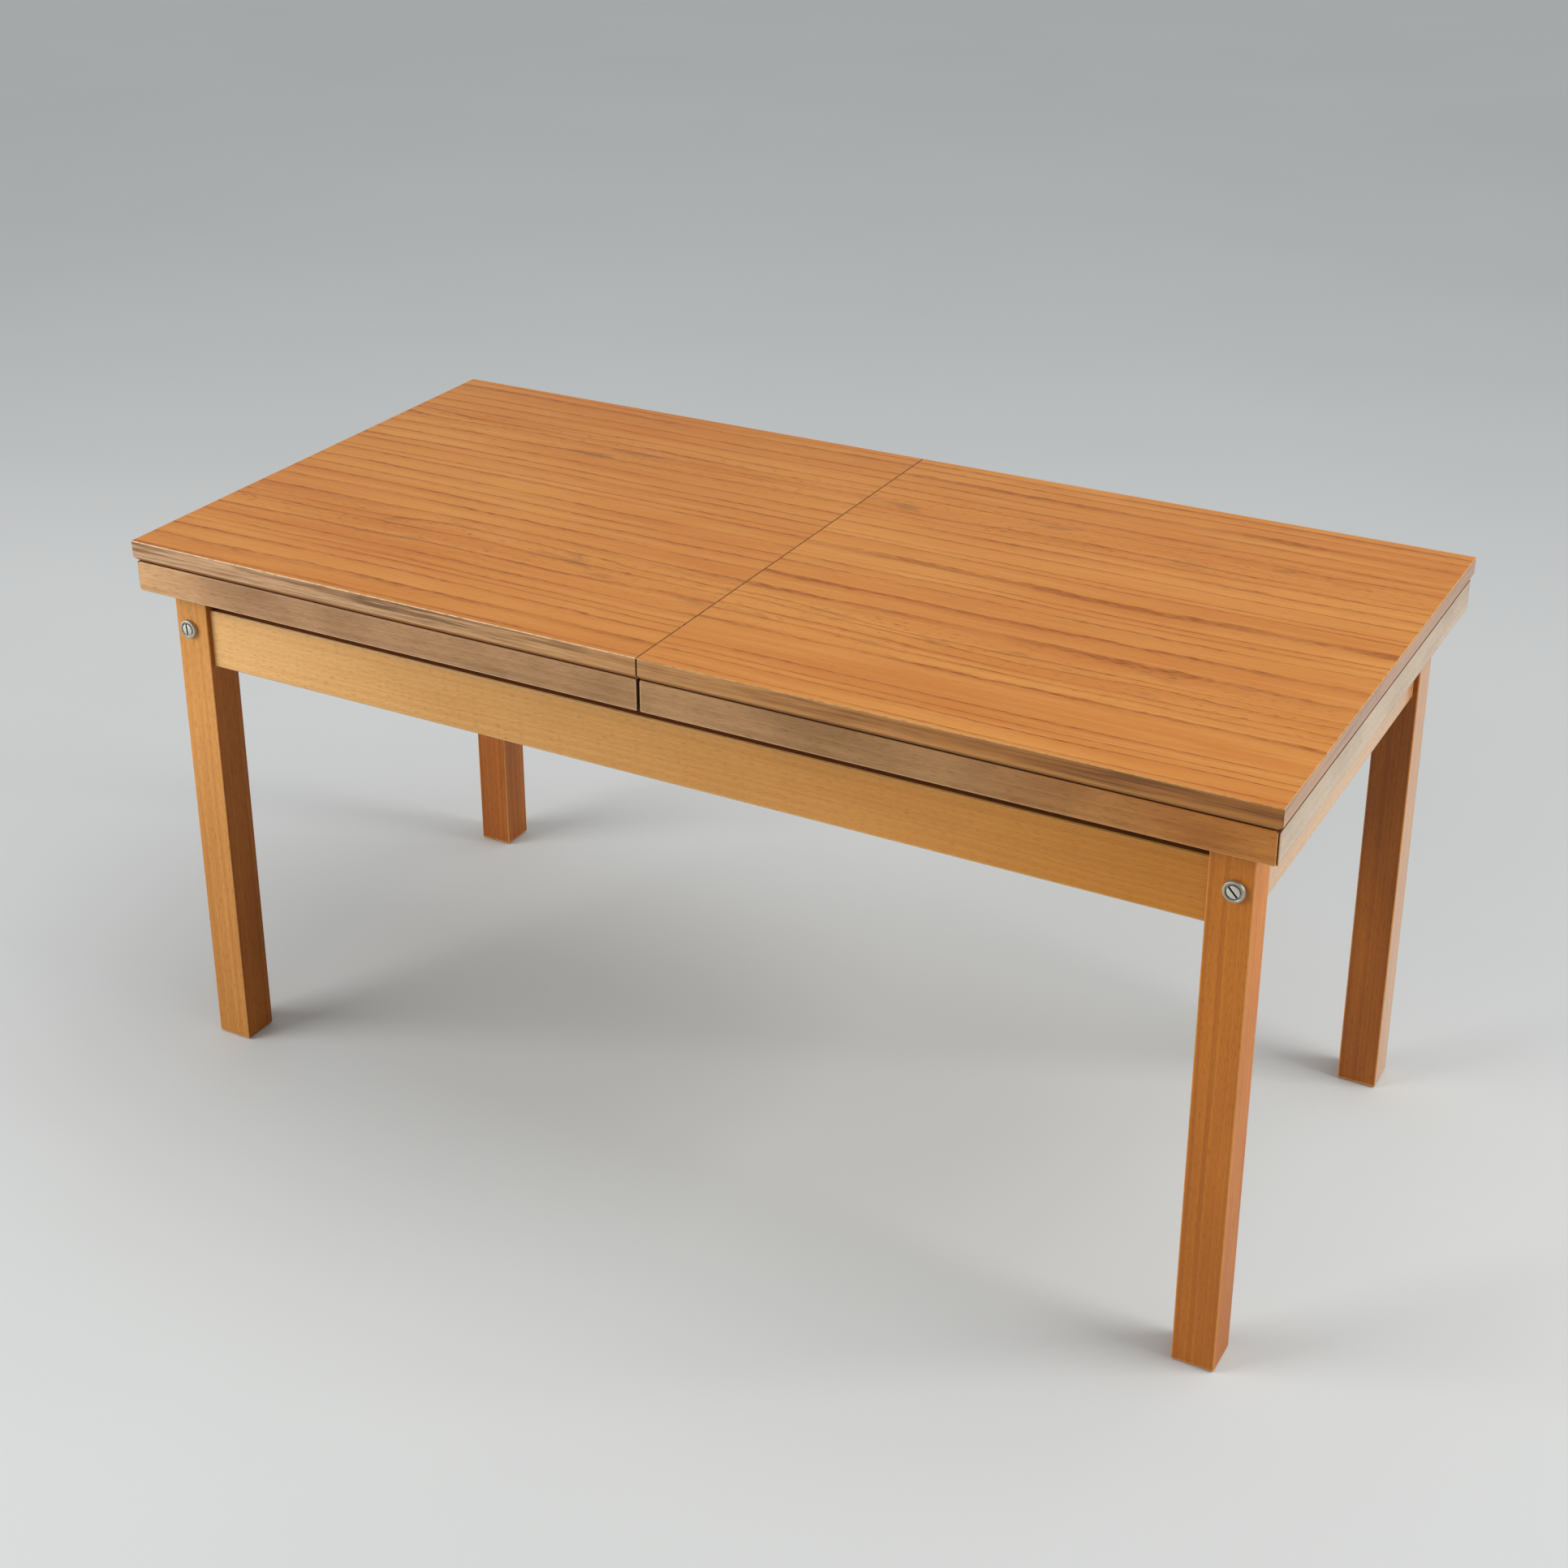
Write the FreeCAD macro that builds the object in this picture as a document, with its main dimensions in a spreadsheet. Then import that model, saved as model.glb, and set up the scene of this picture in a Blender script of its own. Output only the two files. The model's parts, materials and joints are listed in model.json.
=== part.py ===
# Convertible coffee dining table: a knock-down beech base, a scissor lift inside it,
# and a split top whose halves slide apart for an insert leaf stored under them.
# Millimetres. X runs along the table, Y from the front to the back, Z up from the floor.
import os

import FreeCAD
import Part

os.makedirs("parts", exist_ok=True)
doc = FreeCAD.newDocument("convertible_table")
nodes = []


# Driving dimensions, one cell each
DIMENSIONS = {
    "top_length": 1100,        # over both half panels
    "top_width": 548,
    "table_height": 540,       # top surface in the low position
    "lift": 180,               # rise to dining height
    "laminate_thick": 1,
    "board_thick": 20,
    "lipping_thick": 8,
    "lipping_bevel": 5,        # lower arris, makes the shadow groove over the skirt
    "seam_gap": 0.8,           # between the half panels
    "skirt_seam_gap": 2.4,     # between the half skirts
    "skirt_inset": 2,          # skirt face behind the panel edge
    "skirt_height": 29,
    "skirt_thick": 20,
    "mitre_gap": 0.4,
    "leg_size": 37,
    "leg_inset": 24,           # leg face behind the panel edge
    "leg_gap": 1.5,            # leg top below the skirt
    "foot_chamfer": 2,
    "button_radius": 7,        # felt button on each leg top
    "button_depth": 3,
    "button_gap": 0.3,
    "apron_drop": 19,          # apron top below the skirt
    "apron_height": 58,
    "apron_thick": 20,
    "apron_setback": 5,        # apron and end rail faces behind the leg faces
    "rail_height": 52,
    "rail_thick": 20,
    "arris": 1.5,
    "dowel_radius": 4,
    "dowel_leg_depth": 16,
    "dowel_rail_depth": 20,
    "apron_dowel_pitch": 32,
    "rail_dowel_drop": 40,     # rail dowel below the rail's top
    "bolt_radius": 3,
    "bolt_drop": 21,           # bolt axis below the rail's top
    "bolt_reach": 32,          # bolt end past the leg
    "bolt_head_radius": 5.4,
    "bolt_head_thick": 2.6,
    "bolt_slot_width": 1.7,
    "bolt_slot_depth": 1.6,
    "washer_radius": 9.2,
    "washer_thick": 1.6,       # under the bolt head
    "washer_height": 3.9,      # raised rim of the cup
    "washer_cup_radius": 6.8,
    "nut_radius": 5,
    "nut_length": 16,
    "nut_depth": 25,           # nut axis past the leg
    "bolt_clear": 0.5,
    "seat_clear": 0.05,        # glued, pressed and running seats
    "block_height": 22,        # lift blocks and tracks
    "block_thick": 12,
    "block_length": 30,
    "arm_length": 560,         # pivot to pivot
    "arm_height": 20,
    "arm_thick": 4,
    "lane_gap": 1,             # between block, outer arm and inner arm
    "shaft_radius": 4,
    "shaft_inset": 2,          # shaft end inside the block
    "stud_head_radius": 7,
    "stud_head_thick": 1.8,
    "stud_play": 0.2,
    "glide_radius": 7,
    "glide_length": 8,
    "glide_clear": 0.3,
    "glide_side": 1.5,         # glide face inside the track's mouth
    "track_wall": 2,           # behind the glide
    "track_end": 12,           # solid end of a track
    "notch_depth": 1.2,        # holds the glide at dining height
    "guide_clear": 1.5,        # guide rail over the apron
    "guide_head": 2,           # guide rail under the panel
    "guide_thick": 17,
    "guide_end_gap": 69,       # guide rail short of the legs
    "groove_depth": 5.4,
    "tongue_height": 8,
    "tongue_reach": 5,
    "tongue_clear": 0.3,
    "runner_thick": 18,
    "runner_lift": 1,          # runner bottom over the skirt's bottom
    "runner_gap": 1,           # beside a guide rail
    "runner_side": 2,          # beside the skirt
    "runner_reach": 300,       # past the seam
    "runner_end": 1,           # short of the skirt's end
    "stop_radius": 3,
    "stop_inset": 6,
    "slat_width": 45,
    "slat_thick": 10,
    "slat_pitch": 100,
    "insert_side": 11,         # insert leaf beside the runners
    "seam_dowel_out": 18,
    "seam_dowel_in": 18,
    "seam_dowel_pitch": 180,
    "seam_dowel_clear": 0.3,
    "screw_radius": 2,
    "screw_head_radius": 4,
    "screw_head_thick": 2.2,
    "screw_bite": 14,          # thread in the second piece
    "screw_sink": 9,           # counterbore in skirts and runners
    "block_sink": 3,           # counterbore in lower blocks and tracks
    "screw_edge": 7,           # screw axis from a block or track end
    "runner_screw_end": 60,    # first and last screws of a runner and of a skirt rail
    "skirt_screw_end": 80,
    "cut_over": 1,             # cutters run past the faces that they open
}

sheet = doc.addObject("Spreadsheet::Sheet", "dims")
for row, (alias, value) in enumerate(DIMENSIONS.items(), start=1):
    sheet.set(f"A{row}", alias)
    sheet.set(f"B{row}", str(value))
    sheet.setAlias(f"B{row}", alias)
doc.recompute()


# Places worked out from the dimensions
HALF_LENGTH = "(dims.top_length / 2)"
HALF_WIDTH = "(dims.top_width / 2)"
BOARD_TOP = "(dims.table_height - dims.laminate_thick)"
PANEL_BOTTOM = f"({BOARD_TOP} - dims.board_thick)"
SKIRT_BOTTOM = f"({PANEL_BOTTOM} - dims.skirt_height)"
SKIRT_END = f"({HALF_LENGTH} - dims.skirt_inset)"
SKIRT_SIDE = f"({HALF_WIDTH} - dims.skirt_inset)"

LEG_TOP = f"({SKIRT_BOTTOM} - dims.leg_gap)"
LEG_X = f"({HALF_LENGTH} - dims.leg_inset - dims.leg_size / 2)"
LEG_Y = f"({HALF_WIDTH} - dims.leg_inset - dims.leg_size / 2)"
LEG_FRONT = f"({LEG_Y} + dims.leg_size / 2)"
APRON_END = f"({LEG_X} - dims.leg_size / 2)"
RAIL_END = f"({LEG_Y} - dims.leg_size / 2)"
APRON_TOP = f"({SKIRT_BOTTOM} - dims.apron_drop)"
APRON_BOTTOM = f"({APRON_TOP} - dims.apron_height)"
APRON_MIDDLE = f"({APRON_TOP} - dims.apron_height / 2)"
APRON_Y = f"({LEG_FRONT} - dims.apron_setback - dims.apron_thick / 2)"
APRON_FACE = f"({APRON_Y} - dims.apron_thick / 2)"
RAIL_X = f"({LEG_X} + dims.leg_size / 2 - dims.apron_setback - dims.rail_thick / 2)"
BOLT_Z = f"({APRON_TOP} - dims.bolt_drop)"

GUIDE_BOTTOM = f"({APRON_TOP} + dims.guide_clear)"
GUIDE_TOP = f"({PANEL_BOTTOM} - dims.guide_head)"
PIVOT_LOW = f"({APRON_BOTTOM} + dims.block_height / 2)"
PIVOT_HIGH = f"({GUIDE_BOTTOM} - dims.block_height / 2)"
PIVOT_X = "(dims.arm_length / 2)"
RISE = f"({PIVOT_HIGH} - {PIVOT_LOW})"
SPAN_LOW = f"sqrt(dims.arm_length^2 - {RISE}^2)"
SPAN_HIGH = f"sqrt(dims.arm_length^2 - ({RISE} + dims.lift)^2)"
GLIDE_X_LOW = f"({SPAN_LOW} - {PIVOT_X})"
GLIDE_X_HIGH = f"({SPAN_HIGH} - {PIVOT_X})"
ARM_TILT = f"asin({RISE} / dims.arm_length)"
BLOCK_Y = f"({APRON_FACE} - dims.block_thick / 2)"
OUTER_ARM_Y = f"({APRON_FACE} - dims.block_thick - dims.lane_gap - dims.arm_thick / 2)"
INNER_ARM_Y = f"({OUTER_ARM_Y} - dims.lane_gap - dims.arm_thick)"
SHAFT_LENGTH = f"2 * ({APRON_FACE} - dims.shaft_inset)"
BLOCK_FACE = f"({APRON_FACE} - dims.block_thick)"
GLIDE_Y = f"({BLOCK_FACE} + dims.glide_side + dims.glide_length / 2)"
TRACK_INNER_END = f"({GLIDE_X_HIGH} - dims.glide_radius - dims.glide_clear - dims.track_end)"
TRACK_OUTER_END = f"({GLIDE_X_LOW} + dims.glide_radius + dims.glide_clear + dims.track_end)"
TRACK_X = f"(({TRACK_INNER_END} + {TRACK_OUTER_END}) / 2)"
TRACK_LENGTH = f"({TRACK_OUTER_END} - {TRACK_INNER_END})"

OUTER_RUNNER_Y = f"({SKIRT_SIDE} - dims.skirt_thick - dims.runner_side - dims.runner_thick / 2)"
GUIDE_Y = f"({OUTER_RUNNER_Y} - dims.runner_thick / 2 - dims.runner_gap - dims.guide_thick / 2)"
INNER_RUNNER_Y = f"({GUIDE_Y} - dims.guide_thick / 2 - dims.runner_gap - dims.runner_thick / 2)"
GUIDE_END = f"({APRON_END} - dims.guide_end_gap)"
RUNNER_BOTTOM = f"({SKIRT_BOTTOM} + dims.runner_lift)"
RUNNER_HEIGHT = f"({PANEL_BOTTOM} - {RUNNER_BOTTOM})"
TONGUE_Z = f"({RUNNER_BOTTOM} + {RUNNER_HEIGHT} / 2)"
INSERT_ROOM = f"(2 * ({INNER_RUNNER_Y} - dims.runner_thick / 2 - dims.insert_side))"
INSERT_WIDTH = f"({INSERT_ROOM} - dims.seam_dowel_out)"
INSERT_Y = "(-dims.seam_dowel_out / 2)"
INSERT_BOTTOM = f"({GUIDE_BOTTOM} + dims.slat_thick)"
TRAVEL = f"({INSERT_WIDTH} / 2 + dims.seam_gap)"
TONGUE_START = (f"({GUIDE_END} - dims.stop_inset - dims.stop_radius - dims.tongue_clear"
                f" - {TRAVEL})")

LEFT_RIGHT = (("left", -1), ("right", 1))
FRONT_REAR = (("front", -1), ("rear", 1))
DIRECTION = {
    "X": FreeCAD.Rotation(FreeCAD.Vector(0, 1, 0), 90),
    "Y": FreeCAD.Rotation(FreeCAD.Vector(1, 0, 0), -90),
    "Z": FreeCAD.Rotation(),
}


def number(alias):
    return float(sheet.get(alias))


def move(obj, x, y, z):
    for axis, place in zip("xyz", (x, y, z)):
        obj.setExpression(f"Placement.Base.{axis}", f"{place}")


# A box centred on x and y, standing on z
def block(label, x, y, z, length, width, height):
    obj = doc.addObject("Part::Box", label)
    obj.setExpression("Length", length)
    obj.setExpression("Width", width)
    obj.setExpression("Height", height)
    move(obj, f"{x} - ({length}) / 2", f"{y} - ({width}) / 2", z)
    return obj


# A cylinder along an axis, centred on x, y, z
def rod(label, axis, x, y, z, radius, length):
    obj = doc.addObject("Part::Cylinder", label)
    obj.Placement = FreeCAD.Placement(FreeCAD.Vector(), DIRECTION[axis])
    obj.setExpression("Radius", radius)
    obj.setExpression("Height", length)
    middle = {"X": x, "Y": y, "Z": z}
    middle[axis] = f"{middle[axis]} - ({length}) / 2"
    move(obj, middle["X"], middle["Y"], middle["Z"])
    return obj


# A strip whose face at y_wide runs from x_wide to x_end, mitred to x_narrow at y_narrow
def mitred(label, x_wide, x_narrow, x_end, y_wide, y_narrow, z, height):
    obj = doc.addObject("Part::Wedge", label)
    obj.setExpression("Xmin", x_wide)
    obj.setExpression("X2min", x_narrow)
    obj.setExpression("Xmax", x_end[0])
    obj.setExpression("X2max", x_end[1])
    obj.setExpression("Ymin", y_wide)
    obj.setExpression("Ymax", y_narrow)
    for prop in ("Zmin", "Z2min"):
        obj.setExpression(prop, z)
    for prop in ("Zmax", "Z2max"):
        obj.setExpression(prop, f"{z} + {height}")
    return obj


def fuse(label, solids):
    obj = doc.addObject("Part::MultiFuse", label)
    obj.Shapes = solids
    return obj


def cut(label, solid, tools):
    obj = doc.addObject("Part::Cut", label)
    obj.Base = solid
    obj.Tool = tools[0] if len(tools) == 1 else fuse(f"{label}_cuts", tools)
    return obj


# A chamfer on the edges that pick returns from the solid's shape
def bevel(label, solid, size, pick):
    doc.recompute()
    picked = pick(solid.Shape)
    obj = doc.addObject("Part::Chamfer", label)
    obj.Base = solid
    obj.Edges = [(index, size, size) for index, edge in enumerate(solid.Shape.Edges, start=1)
                 if any(edge.isSame(other) for other in picked)]
    return obj


def lowest_edges(shape):
    floor = shape.BoundBox.ZMin
    return [edge for edge in shape.Edges if edge.BoundBox.ZMax < floor + 0.01]


# On a mitred strip this is the lower arris of the face that shows
def longest_low_edge(shape):
    return [max(lowest_edges(shape), key=lambda edge: edge.Length)]


def edges_along(axis):
    def pick(shape):
        return [edge for edge in shape.Edges
                if abs(getattr(edge.tangentAt(edge.FirstParameter), axis)) > 0.999]
    return pick


def group(label, solids):
    obj = doc.addObject("Part::Compound", label)
    obj.Links = solids
    return obj


def node(obj):
    nodes.append(obj)
    return obj


# A round-headed wood screw whose head seats at the point x, y, z and which goes
# `grip` through the first piece and `bite` into the second. way is +1 or -1 on the axis.
def screw(label, axis, way, x, y, z, grip, bite="dims.screw_bite"):
    def at(distance):
        place = {"X": x, "Y": y, "Z": z}
        place[axis] = f"{place[axis]} + {way} * ({distance})"
        return place["X"], place["Y"], place["Z"]
    length = f"{grip} + {bite}"
    shank = rod(f"{label}_shank", axis, *at(f"({length}) / 2"), "dims.screw_radius", length)
    head = rod(f"{label}_head", axis, *at("-dims.screw_head_thick / 2"),
               "dims.screw_head_radius", "dims.screw_head_thick")
    return fuse(label, [shank, head])


# The hole that a screw of the same place needs through both pieces
def screw_hole(label, axis, way, x, y, z, grip, bite="dims.screw_bite"):
    place = {"X": x, "Y": y, "Z": z}
    length = f"({grip} + {bite} + dims.seat_clear)"
    place[axis] = f"{place[axis]} + {way} * {length} / 2"
    return rod(label, axis, place["X"], place["Y"], place["Z"],
               "dims.screw_radius + dims.seat_clear", length)


# The counterbore over a sunk screw head, open on the side it is driven from
def screw_sink(label, axis, way, x, y, z, depth):
    place = {"X": x, "Y": y, "Z": z}
    place[axis] = f"{place[axis]} - {way} * ({depth}) / 2"
    return rod(label, axis, place["X"], place["Y"], place["Z"],
               "dims.screw_head_radius + dims.seat_clear", depth)


# Joint dowels: two in each apron end, one in each end rail end
joint_dowels = []
dowel_length = "(dims.dowel_leg_depth + dims.dowel_rail_depth)"
dowel_shift = "(dims.dowel_rail_depth - dims.dowel_leg_depth) / 2"
dowel_hole_radius = "dims.dowel_radius + dims.seat_clear"
dowel_hole_length = f"({dowel_length} + 2 * dims.seat_clear)"


def apron_dowel_places(side):
    for step in (-1, 1):
        yield (f"{side} * ({APRON_END} - {dowel_shift})",
               f"{APRON_MIDDLE} + {step} * dims.apron_dowel_pitch / 2")


def rail_dowel_place(depth):
    return (f"{depth} * ({RAIL_END} - {dowel_shift})", f"{APRON_TOP} - dims.rail_dowel_drop")


# Four legs, bored for the bolts and dowels, with felt buttons let into their tops
felt_buttons = []
for end, side in LEFT_RIGHT:
    for face, depth in FRONT_REAR:
        name = f"leg_{face}_{end}"
        x = f"{side} * {LEG_X}"
        y = f"{depth} * {LEG_Y}"
        blank = block(f"{name}_blank", x, y, "0", "dims.leg_size", "dims.leg_size", LEG_TOP)
        foot = bevel(f"{name}_foot", blank, number("foot_chamfer"), lowest_edges)
        cuts = [rod(f"{name}_bolt_hole", "Y", f"{side} * {RAIL_X}", y, BOLT_Z,
                    "dims.bolt_radius + dims.bolt_clear", "2 * dims.leg_size")]
        cuts.append(rod(f"{name}_button_seat", "Z", x, y, LEG_TOP,
                        "dims.button_radius + dims.seat_clear", "2 * dims.button_depth"))
        for step, (dowel_x, dowel_z) in enumerate(apron_dowel_places(side)):
            cuts.append(rod(f"{name}_apron_dowel_hole_{step}", "X", dowel_x, f"{depth} * {APRON_Y}",
                            dowel_z, dowel_hole_radius, dowel_hole_length))
        dowel_y, dowel_z = rail_dowel_place(depth)
        cuts.append(rod(f"{name}_rail_dowel_hole", "Y", f"{side} * {RAIL_X}", dowel_y, dowel_z,
                        dowel_hole_radius, dowel_hole_length))
        node(cut(name, foot, cuts))
        button_height = "(dims.button_depth + dims.leg_gap - dims.button_gap)"
        felt_buttons.append(rod(f"{name}_button", "Z", x, y,
                                f"{LEG_TOP} - dims.button_depth + {button_height} / 2",
                                "dims.button_radius", button_height))
node(group("felt_buttons", felt_buttons))


# Places of the screws along a pivot block and a track of the lift, two in each
def lift_screw_places():
    for way in (-1, 1):
        yield f"-{PIVOT_X} + {way} * (dims.block_length / 2 - dims.screw_edge)"
    yield f"{TRACK_INNER_END} + dims.screw_edge"
    yield f"{TRACK_OUTER_END} - dims.screw_edge"


# Lower screws go back into an apron, upper ones up into a guide rail
def lower_screw_seats(depth):
    for x in lift_screw_places():
        yield ("Y", depth, x, f"{depth} * ({BLOCK_FACE} + dims.block_sink)", PIVOT_LOW,
               "(dims.block_thick - dims.block_sink)")


def upper_screw_seats(depth):
    for x in lift_screw_places():
        yield ("Z", 1, x, f"{depth} * {BLOCK_Y}", f"{GUIDE_BOTTOM} - dims.block_height", "dims.block_height")


# Long aprons, dowelled between the legs, with the lift's blocks and tracks screwed to their backs
for face, depth in FRONT_REAR:
    name = f"apron_{face}"
    y = f"{depth} * {APRON_Y}"
    blank = block(f"{name}_blank", "0", y, APRON_BOTTOM,
                  f"2 * {APRON_END}", "dims.apron_thick", "dims.apron_height")
    eased = bevel(f"{name}_eased", blank, number("arris"), edges_along("x"))
    cuts = []
    for end, side in LEFT_RIGHT:
        for step, (dowel_x, dowel_z) in enumerate(apron_dowel_places(side)):
            cuts.append(rod(f"{name}_dowel_hole_{end}_{step}", "X", dowel_x, y, dowel_z,
                            dowel_hole_radius, dowel_hole_length))
            joint_dowels.append(rod(f"{name}_dowel_{end}_{step}", "X", dowel_x, y, dowel_z,
                                    "dims.dowel_radius", dowel_length))
    for index, seat in enumerate(lower_screw_seats(depth)):
        cuts.append(screw_hole(f"{name}_screw_hole_{index}", *seat))
    node(cut(name, eased, cuts))


# End rails, bolted between the legs through barrel nuts
for end, side in LEFT_RIGHT:
    name = f"end_rail_{end}"
    x = f"{side} * {RAIL_X}"
    blank = block(f"{name}_blank", x, "0", f"{APRON_TOP} - dims.rail_height",
                  "dims.rail_thick", f"2 * {RAIL_END}", "dims.rail_height")
    eased = bevel(f"{name}_eased", blank, number("arris"), edges_along("y"))
    cuts = []
    for face, depth in FRONT_REAR:
        cuts.append(rod(f"{name}_bolt_hole_{face}", "Y", x, f"{depth} * {RAIL_END}", BOLT_Z,
                        "dims.bolt_radius + dims.bolt_clear",
                        "2 * (dims.bolt_reach + dims.bolt_clear)"))
        cuts.append(rod(f"{name}_nut_hole_{face}", "X", f"{side} * ({RAIL_X} - dims.rail_thick / 2)",
                        f"{depth} * ({RAIL_END} - dims.nut_depth)", BOLT_Z,
                        "dims.nut_radius + dims.seat_clear", "dims.rail_thick + dims.nut_length"))
        dowel_y, dowel_z = rail_dowel_place(depth)
        cuts.append(rod(f"{name}_dowel_hole_{face}", "Y", x, dowel_y, dowel_z,
                        dowel_hole_radius, dowel_hole_length))
        joint_dowels.append(rod(f"{name}_dowel_{face}", "Y", x, dowel_y, dowel_z,
                                "dims.dowel_radius", dowel_length))
    node(cut(name, eased, cuts))
node(group("joint_dowels", joint_dowels))


# Slotted bolts, cup washers on the leg faces and barrel nuts in the end rails
bolts = []
washers = []
nuts = []
for end, side in LEFT_RIGHT:
    for face, depth in FRONT_REAR:
        name = f"bolt_{face}_{end}"
        x = f"{side} * {RAIL_X}"
        seat = f"({LEG_FRONT} + dims.washer_thick)"
        length = "(dims.leg_size + dims.washer_thick + dims.bolt_reach)"
        shank = rod(f"{name}_shank", "Y", x, f"{depth} * ({seat} - {length} / 2)", BOLT_Z,
                    "dims.bolt_radius", length)
        head = rod(f"{name}_head", "Y", x, f"{depth} * ({seat} + dims.bolt_head_thick / 2)", BOLT_Z,
                   "dims.bolt_head_radius", "dims.bolt_head_thick")
        slot = block(f"{name}_slot", x, f"{depth} * ({seat} + dims.bolt_head_thick)",
                     f"{BOLT_Z} - dims.bolt_head_radius - dims.cut_over", "dims.bolt_slot_width",
                     "2 * dims.bolt_slot_depth", "2 * (dims.bolt_head_radius + dims.cut_over)")
        bolts.append(cut(name, fuse(f"{name}_blank", [shank, head]), [slot]))
        cup = rod(f"{name}_washer_cup", "Y", x, f"{depth} * ({LEG_FRONT} + dims.washer_height / 2)",
                  BOLT_Z, "dims.washer_radius", "dims.washer_height")
        pocket = rod(f"{name}_washer_pocket", "Y", x,
                     f"{depth} * ({LEG_FRONT} + dims.washer_thick + dims.washer_height)", BOLT_Z,
                     "dims.washer_cup_radius", "2 * dims.washer_height")
        bore = rod(f"{name}_washer_bore", "Y", x, f"{depth} * {LEG_FRONT}", BOLT_Z,
                   "dims.bolt_radius + dims.seat_clear", "4 * dims.washer_thick")
        washers.append(cut(f"{name}_washer", cup, [pocket, bore]))
        nut_y = f"{depth} * ({RAIL_END} - dims.nut_depth)"
        barrel = rod(f"{name}_barrel", "X", x, nut_y, BOLT_Z, "dims.nut_radius", "dims.nut_length")
        thread = rod(f"{name}_thread", "Y", x, nut_y, BOLT_Z,
                     "dims.bolt_radius + dims.seat_clear", "4 * dims.nut_radius")
        nuts.append(cut(f"{name}_nut", barrel, [thread]))
node(group("leg_bolts", bolts))
node(group("bolt_washers", washers))
node(group("barrel_nuts", nuts))


# Lift blocks: bearings for the pivot shafts, screwed behind the aprons and under the guide rails
def pivot_block(label, y, z, holes):
    blank = block(f"{label}_blank", f"-{PIVOT_X}", y, f"{z} - dims.block_height / 2",
                  "dims.block_length", "dims.block_thick", "dims.block_height")
    bearing = rod(f"{label}_bearing", "Y", f"-{PIVOT_X}", y, z,
                  "dims.shaft_radius + dims.seat_clear", "2 * dims.block_thick")
    return node(cut(label, blank, [bearing] + holes))


# Lift tracks: a slot, open towards the middle, in which a glide runs as the arms rise
def track(label, depth, z, notched, holes):
    y = f"{depth} * {BLOCK_Y}"
    blank = block(f"{label}_blank", TRACK_X, y, f"{z} - dims.block_height / 2",
                  TRACK_LENGTH, "dims.block_thick", "dims.block_height")
    slot_y = f"{depth} * ({BLOCK_Y} - dims.track_wall)"
    slot_height = "2 * (dims.glide_radius + dims.glide_clear)"
    slot = block(f"{label}_slot", TRACK_X, slot_y, f"{z} - dims.glide_radius - dims.glide_clear",
                 f"{TRACK_LENGTH} - 2 * dims.track_end", "dims.block_thick", slot_height)
    cuts = [slot] + holes
    if notched:
        cuts.append(rod(f"{label}_notch", "Y", GLIDE_X_HIGH, slot_y, f"{z} - dims.notch_depth",
                        "dims.glide_radius + dims.glide_clear", "dims.block_thick"))
    return node(cut(label, blank, cuts))


lower_screws = []
for face, depth in FRONT_REAR:
    holes = []
    for index, seat in enumerate(lower_screw_seats(depth)):
        hole = screw_hole(f"lower_hole_{face}_{index}", *seat)
        sink = screw_sink(f"lower_sink_{face}_{index}", *seat[:5], "dims.block_sink")
        holes.append([hole, sink])
        lower_screws.append(screw(f"lower_screw_{face}_{index}", *seat))
    pivot_block(f"lower_pivot_block_{face}", f"{depth} * {BLOCK_Y}", PIVOT_LOW, holes[0] + holes[1])
    track(f"lower_track_{face}", depth, PIVOT_LOW, True, holes[2] + holes[3])
node(group("lower_screws", lower_screws))


# Scissor arms: flat steel bars with rounded ends, drilled at both ends and in the middle.
# They are drawn level and then tilted about the end at the pivot.
def arm(label, y, z, tilt, middle_clear):
    ends = ("0", "dims.arm_length")
    shape = [block(f"{label}_bar", "dims.arm_length / 2", "0", "-dims.arm_height / 2",
                   "dims.arm_length", "dims.arm_thick", "dims.arm_height")]
    holes = [rod(f"{label}_middle_hole", "Y", "dims.arm_length / 2", "0", "0",
                 f"dims.shaft_radius + {middle_clear}", "2 * dims.arm_thick")]
    for index, x in enumerate(ends):
        shape.append(rod(f"{label}_end_{index}", "Y", x, "0", "0",
                         "dims.arm_height / 2", "dims.arm_thick"))
        holes.append(rod(f"{label}_end_hole_{index}", "Y", x, "0", "0",
                         "dims.shaft_radius + dims.seat_clear", "2 * dims.arm_thick"))
    obj = cut(label, fuse(f"{label}_blank", shape), holes)
    obj.Placement = FreeCAD.Placement(FreeCAD.Vector(), FreeCAD.Rotation(FreeCAD.Vector(0, 1, 0), 1))
    obj.setExpression("Placement.Rotation.Angle", tilt)
    move(obj, f"-{PIVOT_X}", y, z)
    return node(obj)


for face, depth in FRONT_REAR:
    arm(f"outer_arm_{face}", f"{depth} * {OUTER_ARM_Y}", PIVOT_LOW, f"-{ARM_TILT}", "dims.seat_clear")
    arm(f"inner_arm_{face}", f"{depth} * {INNER_ARM_Y}", PIVOT_HIGH, ARM_TILT, "dims.seat_clear")


# Shafts across the lift: the outer arms turn on the lower pivot and carry the upper glides,
# the inner arms turn on the upper pivot and carry the lower glides
def shaft(label, x, z):
    return node(rod(label, "Y", x, "0", z, "dims.shaft_radius", SHAFT_LENGTH))


def glides(label, z):
    pair = []
    for face, depth in FRONT_REAR:
        y = f"{depth} * {GLIDE_Y}"
        disc = rod(f"{label}_disc_{face}", "Y", GLIDE_X_LOW, y, z, "dims.glide_radius", "dims.glide_length")
        bore = rod(f"{label}_bore_{face}", "Y", GLIDE_X_LOW, y, z,
                   "dims.shaft_radius + dims.seat_clear", "2 * dims.glide_length")
        pair.append(cut(f"{label}_{face}", disc, [bore]))
    return node(group(label, pair))


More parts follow.
